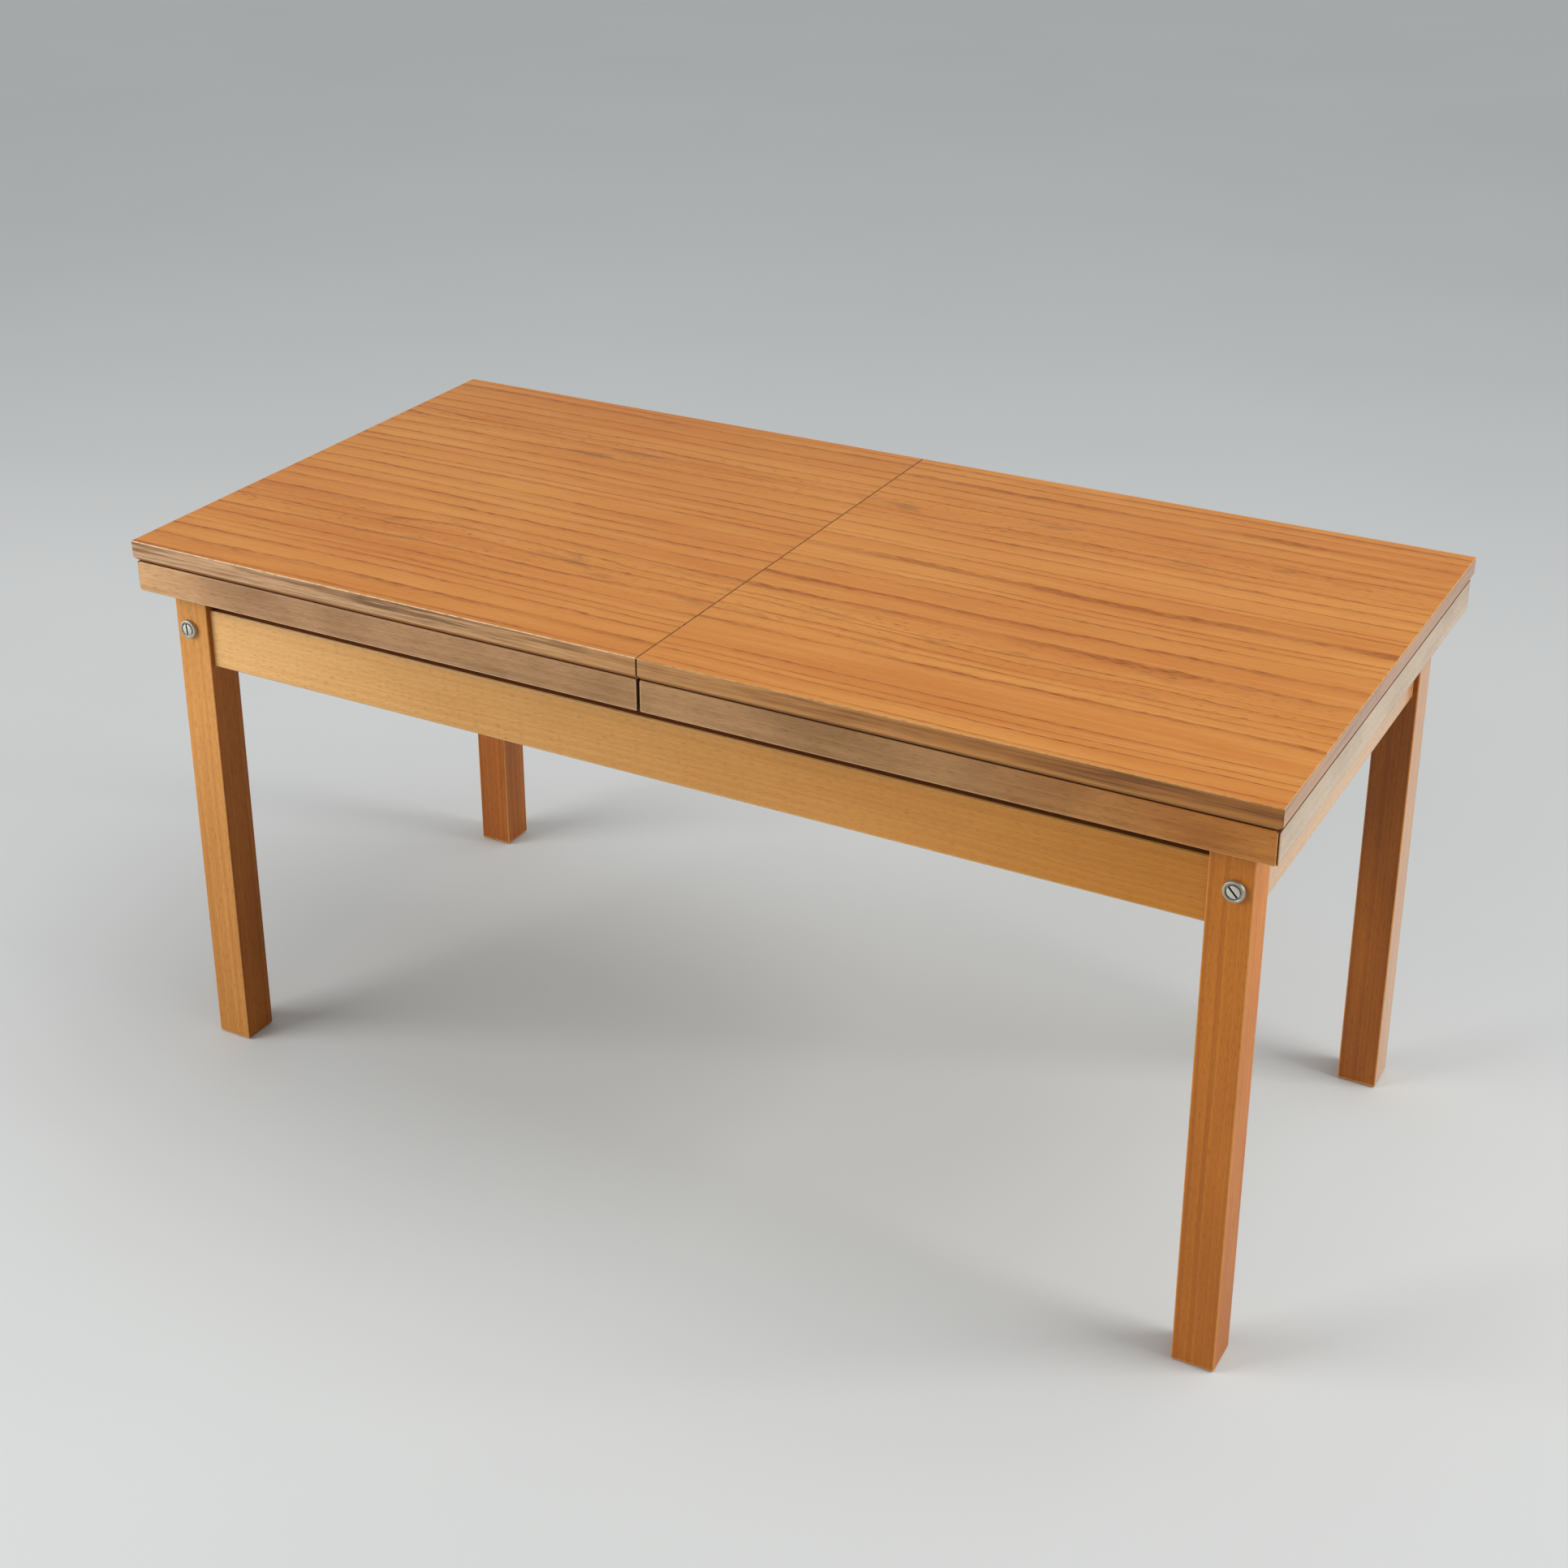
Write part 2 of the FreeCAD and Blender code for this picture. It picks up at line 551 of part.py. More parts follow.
def glide_shaft(label, z):
    length = f"2 * ({GLIDE_Y} + dims.glide_length / 2)"
    return node(rod(label, "Y", GLIDE_X_LOW, "0", z, "dims.shaft_radius", length))


shaft("lower_pivot_shaft", f"-{PIVOT_X}", PIVOT_LOW)
shaft("upper_pivot_shaft", f"-{PIVOT_X}", PIVOT_HIGH)
glide_shaft("upper_glide_shaft", PIVOT_HIGH)
glide_shaft("lower_glide_shaft", PIVOT_LOW)
glides("upper_glides", PIVOT_HIGH)
glides("lower_glides", PIVOT_LOW)


# Centre studs, fixed in the outer arms, on which the inner arms turn
studs = []
CROSS_X = f"({SPAN_LOW} / 2 - {PIVOT_X})"
CROSS_Z = f"(({PIVOT_LOW} + {PIVOT_HIGH}) / 2)"
ARM_PAIR = "(2 * dims.arm_thick + dims.lane_gap + 2 * dims.stud_play)"
for face, depth in FRONT_REAR:
    name = f"centre_stud_{face}"
    middle = f"({OUTER_ARM_Y} + {INNER_ARM_Y}) / 2"
    solids = [rod(f"{name}_shank", "Y", CROSS_X, f"{depth} * {middle}", CROSS_Z,
                  "dims.shaft_radius", ARM_PAIR)]
    for way in (-1, 1):
        offset = f"{way} * ({ARM_PAIR} + dims.stud_head_thick) / 2"
        solids.append(rod(f"{name}_head_{way + 1}", "Y", CROSS_X, f"{depth} * ({middle} + {offset})", CROSS_Z,
                          "dims.stud_head_radius", "dims.stud_head_thick"))
    studs.append(fuse(name, solids))
node(group("centre_studs", studs))


# Guide rails of the carrier, grooved on both sides for the runners' tongues
SLAT_PLACES = [f"{step} * dims.slat_pitch" for step in (-2, -1, 0, 1, 2)]
SLAT_Z = f"({GUIDE_BOTTOM} + dims.slat_thick / 2)"
carrier_screws = []
slide_stops = []
for face, depth in FRONT_REAR:
    name = f"guide_rail_{face}"
    y = f"{depth} * {GUIDE_Y}"
    blank = block(f"{name}_blank", "0", y, GUIDE_BOTTOM, f"2 * {GUIDE_END}", "dims.guide_thick",
                  f"{GUIDE_TOP} - {GUIDE_BOTTOM}")
    groove_height = "(dims.tongue_height + 2 * dims.tongue_clear)"
    cuts = []
    for lane, way, stop_x in (("outer", 1, f"-({GUIDE_END} - dims.stop_inset)"),
                              ("inner", -1, f"({GUIDE_END} - dims.stop_inset)")):
        mouth = f"({GUIDE_Y} + {way} * dims.guide_thick / 2)"
        cuts.append(block(f"{name}_{lane}_groove", "0", f"{depth} * {mouth}",
                          f"{TONGUE_Z} - {groove_height} / 2", f"2 * ({GUIDE_END} + dims.cut_over)",
                          "2 * dims.groove_depth", groove_height))
        stop_length = "2 * dims.groove_depth"
        stop_y = f"{depth} * ({mouth} - {way} * dims.groove_depth)"
        cuts.append(rod(f"{name}_{lane}_stop_hole", "Y", stop_x, stop_y, TONGUE_Z,
                        "dims.stop_radius + dims.seat_clear", f"{stop_length} + dims.seat_clear"))
        slide_stops.append(rod(f"{name}_{lane}_stop", "Y", stop_x, stop_y, TONGUE_Z,
                               "dims.stop_radius", stop_length))
    for index, seat in enumerate(upper_screw_seats(depth)):
        cuts.append(screw_hole(f"{name}_screw_hole_{index}", *seat))
        carrier_screws.append(screw(f"{name}_screw_{index}", *seat))
    for index, slat_x in enumerate(SLAT_PLACES):
        place = ("Y", -depth, slat_x, f"{depth} * ({GUIDE_Y} + dims.guide_thick / 2)", SLAT_Z,
                 "dims.guide_thick")
        cuts.append(screw_hole(f"{name}_slat_hole_{index}", *place))
        carrier_screws.append(screw(f"{name}_slat_screw_{index}", *place))
    node(cut(name, blank, cuts))
node(group("slide_stops", slide_stops))


# Upper blocks and tracks, screwed up into the guide rails
for face, depth in FRONT_REAR:
    holes = []
    for index, seat in enumerate(upper_screw_seats(depth)):
        holes.append(screw_hole(f"upper_hole_{face}_{index}", *seat))
    pivot_block(f"upper_pivot_block_{face}", f"{depth} * {BLOCK_Y}", PIVOT_HIGH, holes[:2])
    track(f"upper_track_{face}", depth, PIVOT_HIGH, False, holes[2:])
node(group("carrier_screws", carrier_screws))


# Cross slats between the guide rails, under the stored insert leaf
slats = []
for index, slat_x in enumerate(SLAT_PLACES):
    name = f"carrier_slat_{index}"
    length = f"2 * ({GUIDE_Y} - dims.guide_thick / 2)"
    blank = block(f"{name}_blank", slat_x, "0", GUIDE_BOTTOM, "dims.slat_width", length, "dims.slat_thick")
    holes = [screw_hole(f"{name}_hole_{face}", "Y", -depth, slat_x,
                        f"{depth} * ({GUIDE_Y} + dims.guide_thick / 2)", SLAT_Z, "dims.guide_thick")
             for face, depth in FRONT_REAR]
    slats.append(cut(name, blank, holes))
node(group("carrier_slats", slats))


# Insert leaf, stored with its length along the table and its dowels towards the back
SEAM_DOWEL_STEPS = (-1, 0, 1)
seam_dowel_length = "(dims.seam_dowel_in + dims.seam_dowel_out)"
leaf_z = f"{INSERT_BOTTOM} + dims.board_thick / 2"
leaf_edge = f"({INSERT_Y} + {INSERT_WIDTH} / 2)"
leaf_socket_edge = f"({INSERT_Y} - {INSERT_WIDTH} / 2)"
leaf_blank = block("insert_leaf_blank", "0", INSERT_Y, INSERT_BOTTOM, "dims.top_width", INSERT_WIDTH,
                   "dims.board_thick")
leaf_cuts = []
insert_dowels = []
for step in SEAM_DOWEL_STEPS:
    x = f"{step} * dims.seam_dowel_pitch"
    leaf_cuts.append(rod(f"insert_dowel_seat_{step + 1}", "Y", x, leaf_edge, leaf_z,
                         "dims.dowel_radius + dims.seat_clear",
                         "2 * (dims.seam_dowel_in + dims.seat_clear)"))
    leaf_cuts.append(rod(f"insert_socket_{step + 1}", "Y", x, leaf_socket_edge, leaf_z,
                         "dims.dowel_radius + dims.seam_dowel_clear",
                         "2 * (dims.seam_dowel_out + dims.seam_dowel_clear)"))
    insert_dowels.append(rod(f"insert_dowel_{step + 1}", "Y", x,
                             f"{leaf_edge} + (dims.seam_dowel_out - dims.seam_dowel_in) / 2", leaf_z,
                             "dims.dowel_radius", seam_dowel_length))
node(cut("insert_leaf", leaf_blank, leaf_cuts))
node(block("insert_laminate", "0", INSERT_Y, f"{INSERT_BOTTOM} + dims.board_thick",
           "dims.top_width", INSERT_WIDTH, "dims.laminate_thick"))
node(group("insert_dowels", insert_dowels))


# Half tops: board, laminate, mitred lippings, mitred skirt rails, runners and their screws.
# The left half's runners use the outer lanes and the right half's the inner lanes.
RUNNER_LANES = {"left": (OUTER_RUNNER_Y, -1), "right": (INNER_RUNNER_Y, 1)}
SEAM_SEATS = {"left": ("dims.seat_clear", "dims.seam_dowel_in"),
              "right": ("dims.seam_dowel_clear", "dims.seam_dowel_out")}
SEAM_DOWEL_Z = f"({PANEL_BOTTOM} + dims.board_thick / 2)"
SEAM = "(dims.seam_gap / 2)"
SKIRT_SEAM = "(dims.skirt_seam_gap / 2)"
RUNNER_START = f"({SKIRT_END} - dims.skirt_thick - dims.runner_end)"
RUNNER_SCREWS = (f"({RUNNER_START} - dims.runner_screw_end)", f"({RUNNER_START} / 2)",
                 "dims.runner_screw_end")
SKIRT_SCREWS = (f"({SKIRT_END} - dims.skirt_screw_end)", f"({SKIRT_END} / 2)", "dims.skirt_screw_end")
SKIRT_END_SCREWS = (f"-{SKIRT_SIDE} / 2", "0", f"{SKIRT_SIDE} / 2")
runner_grip = f"({RUNNER_HEIGHT} - dims.screw_sink)"
skirt_grip = "(dims.skirt_height - dims.screw_sink)"


# A strip along a long side of one half, or across its end, with mitred corners
def side_strip(label, side, depth, outer, thick, seam, face, z, height):
    wide = f"{side} * ({outer} - dims.mitre_gap / 2)"
    narrow = f"{side} * ({outer} - {thick} - dims.mitre_gap / 2)"
    start = f"{side} * {seam}"
    near = f"{depth} * {face}"
    far = f"{depth} * ({face} - {thick})"
    if depth > 0:
        near, far = far, near
        wide, narrow = narrow, wide
    if side < 0:
        return mitred(label, wide, narrow, (start, start), near, far, z, height)
    return mitred(label, start, start, (wide, narrow), near, far, z, height)


def end_strip(label, side, outer, thick, face, z, height):
    wide = f"({face} - dims.mitre_gap / 2)"
    narrow = f"({face} - {thick} - dims.mitre_gap / 2)"
    obj = mitred(label, f"-{wide}", f"-{narrow}", (wide, narrow), f"-{outer}", f"-{outer} + {thick}",
                 z, height)
    turn = 90 * side
    obj.Placement = FreeCAD.Placement(FreeCAD.Vector(), FreeCAD.Rotation(FreeCAD.Vector(0, 0, 1), turn))
    return obj


# Sunk screws up into the board: the cuts for the piece under it, the cuts for the board, and the screws
def sunk_screws(name, places, bottom, grip):
    piece_cuts = []
    board_cuts = []
    screws = []
    for index, (x, y) in enumerate(places):
        seat = ("Z", 1, x, y, f"{bottom} + dims.screw_sink", grip)
        piece_cuts.append(screw_hole(f"{name}_hole_{index}", *seat))
        piece_cuts.append(screw_sink(f"{name}_sink_{index}", *seat[:5], "dims.screw_sink + dims.cut_over"))
        board_cuts.append(screw_hole(f"{name}_board_hole_{index}", *seat))
        screws.append(screw(f"{name}_screw_{index}", *seat))
    return piece_cuts, board_cuts, screws


for end, side in LEFT_RIGHT:
    lane, reach_way = RUNNER_LANES[end]
    screws = []
    board_cuts = []

    # Skirt rails
    for face, depth in FRONT_REAR:
        name = f"skirt_{end}_{face}"
        strip = side_strip(f"{name}_strip", side, depth, SKIRT_END, "dims.skirt_thick", SKIRT_SEAM,
                           SKIRT_SIDE, SKIRT_BOTTOM, "dims.skirt_height")
        y = f"{depth} * ({SKIRT_SIDE} - dims.skirt_thick / 2)"
        places = [(f"{side} * {screw_x}", y) for screw_x in SKIRT_SCREWS]
        piece_cuts, holes, driven = sunk_screws(name, places, SKIRT_BOTTOM, skirt_grip)
        node(cut(name, strip, piece_cuts))
        board_cuts += holes
        screws += driven
    name = f"skirt_{end}_end"
    strip = end_strip(f"{name}_strip", side, SKIRT_END, "dims.skirt_thick", SKIRT_SIDE, SKIRT_BOTTOM,
                      "dims.skirt_height")
    x = f"{side} * ({SKIRT_END} - dims.skirt_thick / 2)"
    places = [(x, screw_y) for screw_y in SKIRT_END_SCREWS]
    piece_cuts, holes, driven = sunk_screws(name, places, SKIRT_BOTTOM, skirt_grip)
    node(cut(name, strip, piece_cuts))
    board_cuts += holes
    screws += driven

    # Runners with a tongue that stops short, so that it meets the stop at full travel
    for face, depth in FRONT_REAR:
        name = f"runner_{end}_{face}"
        y = f"{depth} * {lane}"
        length = f"({RUNNER_START} + dims.runner_reach)"
        bar = block(f"{name}_bar", f"{side} * ({RUNNER_START} - {length} / 2)", y, RUNNER_BOTTOM,
                    length, "dims.runner_thick", RUNNER_HEIGHT)
        tongue_length = f"({TONGUE_START} + dims.runner_reach)"
        reach = "(dims.runner_gap + dims.tongue_reach)"
        tongue_y = f"{depth} * ({lane} + {reach_way} * (dims.runner_thick + {reach}) / 2)"
        tongue = block(f"{name}_tongue", f"{side} * ({TONGUE_START} - {tongue_length} / 2)", tongue_y,
                       f"{TONGUE_Z} - dims.tongue_height / 2", tongue_length, reach, "dims.tongue_height")
        places = [(f"{side} * {screw_x}", y) for screw_x in RUNNER_SCREWS]
        piece_cuts, holes, driven = sunk_screws(name, places, RUNNER_BOTTOM, runner_grip)
        node(cut(name, fuse(f"{name}_blank", [bar, tongue]), piece_cuts))
        board_cuts += holes
        screws += driven

    # Board with dowel seats in its seam edge
    board_length = f"({HALF_LENGTH} - dims.lipping_thick - {SEAM})"
    board_blank = block(f"panel_{end}_blank", f"{side} * ({SEAM} + {board_length} / 2)", "0", PANEL_BOTTOM,
                        board_length, f"2 * ({HALF_WIDTH} - dims.lipping_thick)", "dims.board_thick")
    clear, depth_in = SEAM_SEATS[end]
    for step in SEAM_DOWEL_STEPS:
        board_cuts.append(rod(f"panel_{end}_dowel_seat_{step + 1}", "X", f"{side} * {SEAM}",
                              f"{step} * dims.seam_dowel_pitch", SEAM_DOWEL_Z,
                              f"dims.dowel_radius + {clear}", f"2 * ({depth_in} + {clear})"))
    node(cut(f"panel_{end}", board_blank, board_cuts))

    # Lippings with the bevelled lower arris, and the laminate over all
    strips = [side_strip(f"lipping_{end}_{face}_strip", side, depth, HALF_LENGTH, "dims.lipping_thick", SEAM,
                         HALF_WIDTH, PANEL_BOTTOM, "dims.board_thick") for face, depth in FRONT_REAR]
    strips.append(end_strip(f"lipping_{end}_end_strip", side, HALF_LENGTH, "dims.lipping_thick", HALF_WIDTH,
                            PANEL_BOTTOM, "dims.board_thick"))
    lippings = [bevel(f"lipping_{end}_{index}", strip, number("lipping_bevel"), longest_low_edge)
                for index, strip in enumerate(strips)]
    node(group(f"lipping_{end}", lippings))
    node(block(f"laminate_{end}", f"{side} * ({HALF_LENGTH} + {SEAM}) / 2", "0", BOARD_TOP,
               f"{HALF_LENGTH} - {SEAM}", "dims.top_width", "dims.laminate_thick"))
    node(group(f"top_screws_{end}", screws))


# Seam dowels, glued into the left board, that find the sockets of the right one or of the insert leaf
seam_dowels = [rod(f"seam_dowel_{step + 1}", "X", f"-{SEAM} + (dims.seam_dowel_out - dims.seam_dowel_in) / 2",
                   f"{step} * dims.seam_dowel_pitch", SEAM_DOWEL_Z, "dims.dowel_radius", seam_dowel_length)
               for step in SEAM_DOWEL_STEPS]
node(group("seam_dowels", seam_dowels))


doc.recompute()

# Check every object, then write one file for each node
for obj in doc.Objects:
    if "Invalid" in obj.State or "Error" in obj.State:
        raise RuntimeError(f"{obj.Label} did not rebuild: {obj.State}")
for obj in nodes:
    if obj.Shape.isNull() or not obj.Shape.isValid():
        raise RuntimeError(f"{obj.Label} has no valid shape")
    obj.Shape.exportStep(f"parts/{obj.Label}.step")
    print(obj.Label, len(obj.Shape.Solids), round(obj.Shape.Volume))
print(len(nodes), "nodes")
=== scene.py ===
# Convertible coffee dining table: a stained beech base and a teak-look top in two halves, which
# rise on a scissor lift and slide apart over an insert leaf. Metres, in the frame's own axes.
import json
import math

import bmesh
import bpy
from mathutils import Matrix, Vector

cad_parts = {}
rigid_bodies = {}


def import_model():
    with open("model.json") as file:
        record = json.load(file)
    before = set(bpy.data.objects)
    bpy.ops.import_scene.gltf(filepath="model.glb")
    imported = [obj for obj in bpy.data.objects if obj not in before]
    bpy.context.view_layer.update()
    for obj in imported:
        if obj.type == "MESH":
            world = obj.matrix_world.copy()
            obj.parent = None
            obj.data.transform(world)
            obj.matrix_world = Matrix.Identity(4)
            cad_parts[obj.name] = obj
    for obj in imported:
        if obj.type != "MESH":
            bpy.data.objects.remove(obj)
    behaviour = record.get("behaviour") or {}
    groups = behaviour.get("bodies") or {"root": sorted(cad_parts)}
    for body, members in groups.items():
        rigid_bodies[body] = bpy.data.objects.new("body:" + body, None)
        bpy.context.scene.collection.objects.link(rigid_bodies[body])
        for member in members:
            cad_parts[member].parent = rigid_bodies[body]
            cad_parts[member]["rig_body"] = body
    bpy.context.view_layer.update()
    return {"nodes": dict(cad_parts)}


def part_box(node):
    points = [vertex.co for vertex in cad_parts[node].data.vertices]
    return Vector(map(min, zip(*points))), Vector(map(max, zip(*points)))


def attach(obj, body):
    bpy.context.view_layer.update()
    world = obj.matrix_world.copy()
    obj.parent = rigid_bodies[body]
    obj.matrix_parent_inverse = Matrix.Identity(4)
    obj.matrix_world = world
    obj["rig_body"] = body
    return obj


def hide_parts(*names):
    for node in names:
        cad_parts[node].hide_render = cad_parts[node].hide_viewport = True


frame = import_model()
bpy.context.scene.view_settings.view_transform = "Standard"


# Legs: four square posts of beech, planed on all faces, stained and lacquered.
# Their arrises are only broken with sandpaper, and the feet have a small chamfer.
MM = 0.001
LEG_ARRIS = 1.2 * MM
# Points nearer than this are one, and edges shorter than this are facets of a hole
WELD = 0.001 * MM
SHORT_EDGE = 4 * MM
FLAT_ANGLE = math.radians(1)
SHARP_ANGLE = math.radians(30)
# A face looks along an axis when its normal has at least this part there
FACING = 0.9
# A mitred end is upright, and its normal lies midway between X and Y to within this
MITRE_LEAN = 0.05
UPRIGHT = 0.1
# Shades are given at places along X within this distance of the middle
LIGHT_RAMP_REACH = 600 * MM
# Below this height a leg darkens toward its foot with painted shade
FOOT_SHADE_HEIGHT = 360 * MM
SOFT_STEP = {"interpolation_type": "SMOOTHSTEP"}


def srgb(hex_colour):
    channels = [int(hex_colour[i:i + 2], 16) / 255 for i in (1, 3, 5)]
    linear = [c / 12.92 if c <= 0.04045 else ((c + 0.055) / 1.055) ** 2.4 for c in channels]
    return (*linear, 1.0)


# Adds one node, a shader node by the last part of its kind's name. An input is a value, a socket
# to link from, or a node to link from at its first output.
def add(tree, kind, inputs=None, **settings):
    made = tree.nodes.new(kind if "Node" in kind else "ShaderNode" + kind)
    for name, value in settings.items():
        setattr(made, name, value)
    for name, value in (inputs or {}).items():
        if isinstance(value, bpy.types.Node):
            value = next(socket for socket in value.outputs if socket.enabled)
        if isinstance(value, bpy.types.NodeSocket):
            tree.links.new(value, made.inputs[name])
        else:
            made.inputs[name].default_value = value
    return made


# A material with its tree, still empty but for the place of each point in the piece's own axes
def new_material(name):
    material = bpy.data.materials.new(name)
    material.use_nodes = True
    tree = material.node_tree
    tree.nodes.clear()
    return material, tree, add(tree, "TexCoord").outputs["Object"]


def in_scene(name, data):
    made = bpy.data.objects.new(name, data)
    bpy.context.scene.collection.objects.link(made)
    return made


def piece_from(shape, name, materials):
    mesh = bpy.data.meshes.new(name)
    shape.to_mesh(mesh)
    shape.free()
    for material in materials:
        mesh.materials.append(material)
    return in_scene(name, mesh)


# The piece takes the place of its CAD node, on the node's own body
def stand_for(piece, node):
    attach(piece, frame["nodes"][node]["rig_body"])
    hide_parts(node)


# A copy of a CAD piece, with its loose triangles joined
def copied(node):
    shape = bmesh.new()
    shape.from_mesh(frame["nodes"][node].data)
    bmesh.ops.remove_doubles(shape, verts=shape.verts, dist=WELD)
    return shape


# A copy of a CAD piece with its long sharp edges rounded, as sandpaper leaves them. The rounded
# faces take the worn material, where the stain is thinner. A mitre may stand open by a little.
def eased(node, arris, wood, worn, open_mitre=0.0):
    shape = copied(node)
    bmesh.ops.dissolve_limit(shape, angle_limit=FLAT_ANGLE, verts=shape.verts, edges=shape.edges)
    for face in shape.faces:
        face.material_index = 0
        mitred = abs(abs(face.normal.x) - abs(face.normal.y)) < MITRE_LEAN and abs(face.normal.z) < UPRIGHT
        if open_mitre and mitred:
            for vert in face.verts:
                vert.co.x -= math.copysign(open_mitre, face.normal.x)
    sharp = [edge for edge in shape.edges if edge.is_manifold and edge.calc_length() > SHORT_EDGE
             and edge.calc_face_angle() > SHARP_ANGLE]
    rounded = bmesh.ops.bevel(shape, geom=sharp, offset=arris, segments=3, profile=0.5, affect="EDGES",
                              clamp_overlap=True)
    for face in rounded["faces"]:
        face.material_index = 1
    piece = piece_from(shape, f"{node}_eased", (wood, worn))
    stand_for(piece, node)
    return piece


# A place on the wood as its X, Y and Z, as the two that lie across the grain, and with the grain first
def in_the_grain(tree, place, axis):
    parts = add(tree, "SeparateXYZ", {"Vector": place}).outputs
    across = [parts[i] for i in range(3) if i != axis]
    return parts, across, add(tree, "CombineXYZ", {"X": parts[axis], "Y": across[0], "Z": across[1]})


# Patterns drawn out along the grain, each given by the length and width of one mark in mm and by how
# ragged it is. A mark is as deep as it is wide, unless a depth is given for all.
def grain_marks(tree, place, *marks, deep=None):
    drawn = []
    for long, wide, ragged in marks:
        per_metre = [1 / (size * MM) for size in (long, wide, deep or wide)]
        stretched = add(tree, "VectorMath", {0: place, 1: per_metre}, operation="MULTIPLY")
        drawn.append(add(tree, "TexNoise", {"Vector": stretched, "Scale": 1.0, "Detail": ragged}))
    return drawn


# A colour that changes along the table as painted light and sheen, from pairs of a place along X in mm and a
# shade
def painted_light_along_x(tree, x, shades):
    along = add(tree, "MapRange", {"Value": x, "From Min": -LIGHT_RAMP_REACH, "From Max": LIGHT_RAMP_REACH})
    ramp = add(tree, "ValToRGB", {"Fac": along})
    stops = ramp.color_ramp.elements
    stops.remove(stops[1])
    for number, (place, shade) in enumerate(shades):
        spot = 0.5 + place * MM / (2 * LIGHT_RAMP_REACH)
        stop = stops[0] if number == 0 else stops.new(spot)
        stop.position = spot
        stop.color = srgb(shade)
    return ramp


# Beech, planed, stained and lacquered: faint growth bands a few millimetres wide, short dark ray
# flecks along the grain, uneven stain and a satin skin. The grain runs along axis 0, 1 or 2. The pale and
# dark shades are given at places along X in mm, and their change along the table is painted light and sheen.
def stained_beech(name, axis, shades, fleck, band_mm=3.0, contrast=0.5, wander_mm=9.0, cloud_mm=(250, 70),
                  uneven=0.4, satin=0.42, shine=0.35, lacquer=0.0, foot=0.0):
    material, tree, place = new_material(name)
    parts, across, grain = in_the_grain(tree, place, axis)
    # The slow wander of the bands, the clouds of stain, and the flecks, which are drawn 8 by 0.7 mm,
    # coarser than the real 3 by 0.2 mm, so that they show
    warp, blotch, flecks = grain_marks(tree, grain, (454.5, 55.56, 2.0), (*cloud_mm, 4.0), (8, 0.7, 1.0))
    # The bands are cut through at a slant, and counted across it
    swing = add(tree, "Math", {0: warp, 1: wander_mm * MM}, operation="MULTIPLY")
    lean = add(tree, "Math", {0: across[0], 1: 0.75, 2: swing}, operation="MULTIPLY_ADD")
    depth = add(tree, "Math", {0: across[1], 1: 0.66, 2: lean}, operation="MULTIPLY_ADD")
    count = add(tree, "Math", {0: depth, 1: band_mm * MM}, operation="DIVIDE")
    bands = add(tree, "TexNoise", {"W": count, "Scale": 1.0, "Detail": 4.0, "Roughness": 0.6},
                noise_dimensions="1D")
    band = add(tree, "MapRange", {"Value": bands, "From Min": 0.3, "From Max": 0.75, "To Max": contrast},
               **SOFT_STEP)
    stain = add(tree, "MapRange", {"Value": blotch, "From Min": 0.3, "From Max": 0.7,
                                   "To Min": -0.5 * uneven, "To Max": uneven})
    # Painted shade darkens a leg toward its foot
    low = add(tree, "MapRange", {"Value": parts["Z"], "From Min": FOOT_SHADE_HEIGHT, "From Max": 0.0,
                                 "To Max": foot})
    # The uneven stain together with the painted shade toward the foot
    soiled = add(tree, "Math", {0: stain, 1: low}, operation="ADD")
    tone = add(tree, "Math", {0: band, 1: soiled}, operation="ADD", use_clamp=True)
    mark = add(tree, "MapRange", {"Value": flecks, "From Min": 0.5, "From Max": 0.75, "To Max": 0.4},
               **SOFT_STEP)
    pale = painted_light_along_x(tree, parts["X"], [(place, light) for place, light, dark in shades])
    deep = painted_light_along_x(tree, parts["X"], [(place, dark) for place, light, dark in shades])
    wood = add(tree, "Mix", {"Factor": tone, "A": pale, "B": deep}, data_type="RGBA")
    colour = add(tree, "Mix", {"Factor": mark, "A": wood, "B": srgb(fleck)}, data_type="RGBA")
    rough = add(tree, "MapRange", {"Value": blotch, "To Min": satin - 0.06, "To Max": satin + 0.1})
    relief = add(tree, "Bump", {"Height": mark, "Strength": 0.2, "Distance": 0.1 * MM}, invert=True)
    skin = add(tree, "BsdfPrincipled", {
        "Base Color": colour, "Roughness": rough, "Normal": relief, "IOR": 1.5, "Specular IOR Level": shine,
        "Coat Weight": lacquer, "Coat Roughness": 0.2})
    add(tree, "OutputMaterial", {"Surface": skin})
    return material


leg_worn = stained_beech(
    "stained beech, worn upright", 2, [(-500, "#D89A54", "#BC7B38"), (500, "#D99344", "#BC772E")], "#86521E",
    foot=0.3)
front_beech = stained_beech(
    "stained beech, upright", 2, [(-500, "#DC994E", "#B87830"), (500, "#D17E24", "#AC6014")], "#74400F",
    foot=0.7)
# The inner faces of the front pair are darker, as painted shade under the table
inner_face_shade = stained_beech(
    "stained beech, upright in painted shade", 2, [(-500, "#B36A27", "#925013"), (500, "#BA6C20", "#964E10")],
    "#5E300A", foot=0.45, shine=0.15)
# The rear pair is darker and redder, as painted shade under the table
rear_pair_in_shade = stained_beech(
    "stained beech, rear upright in painted shade", 2, [(-500, "#BE6C24", "#965010"), (500, "#B06416", "#8A480A")],
    "#5E300A", uneven=0.6, foot=0.3)
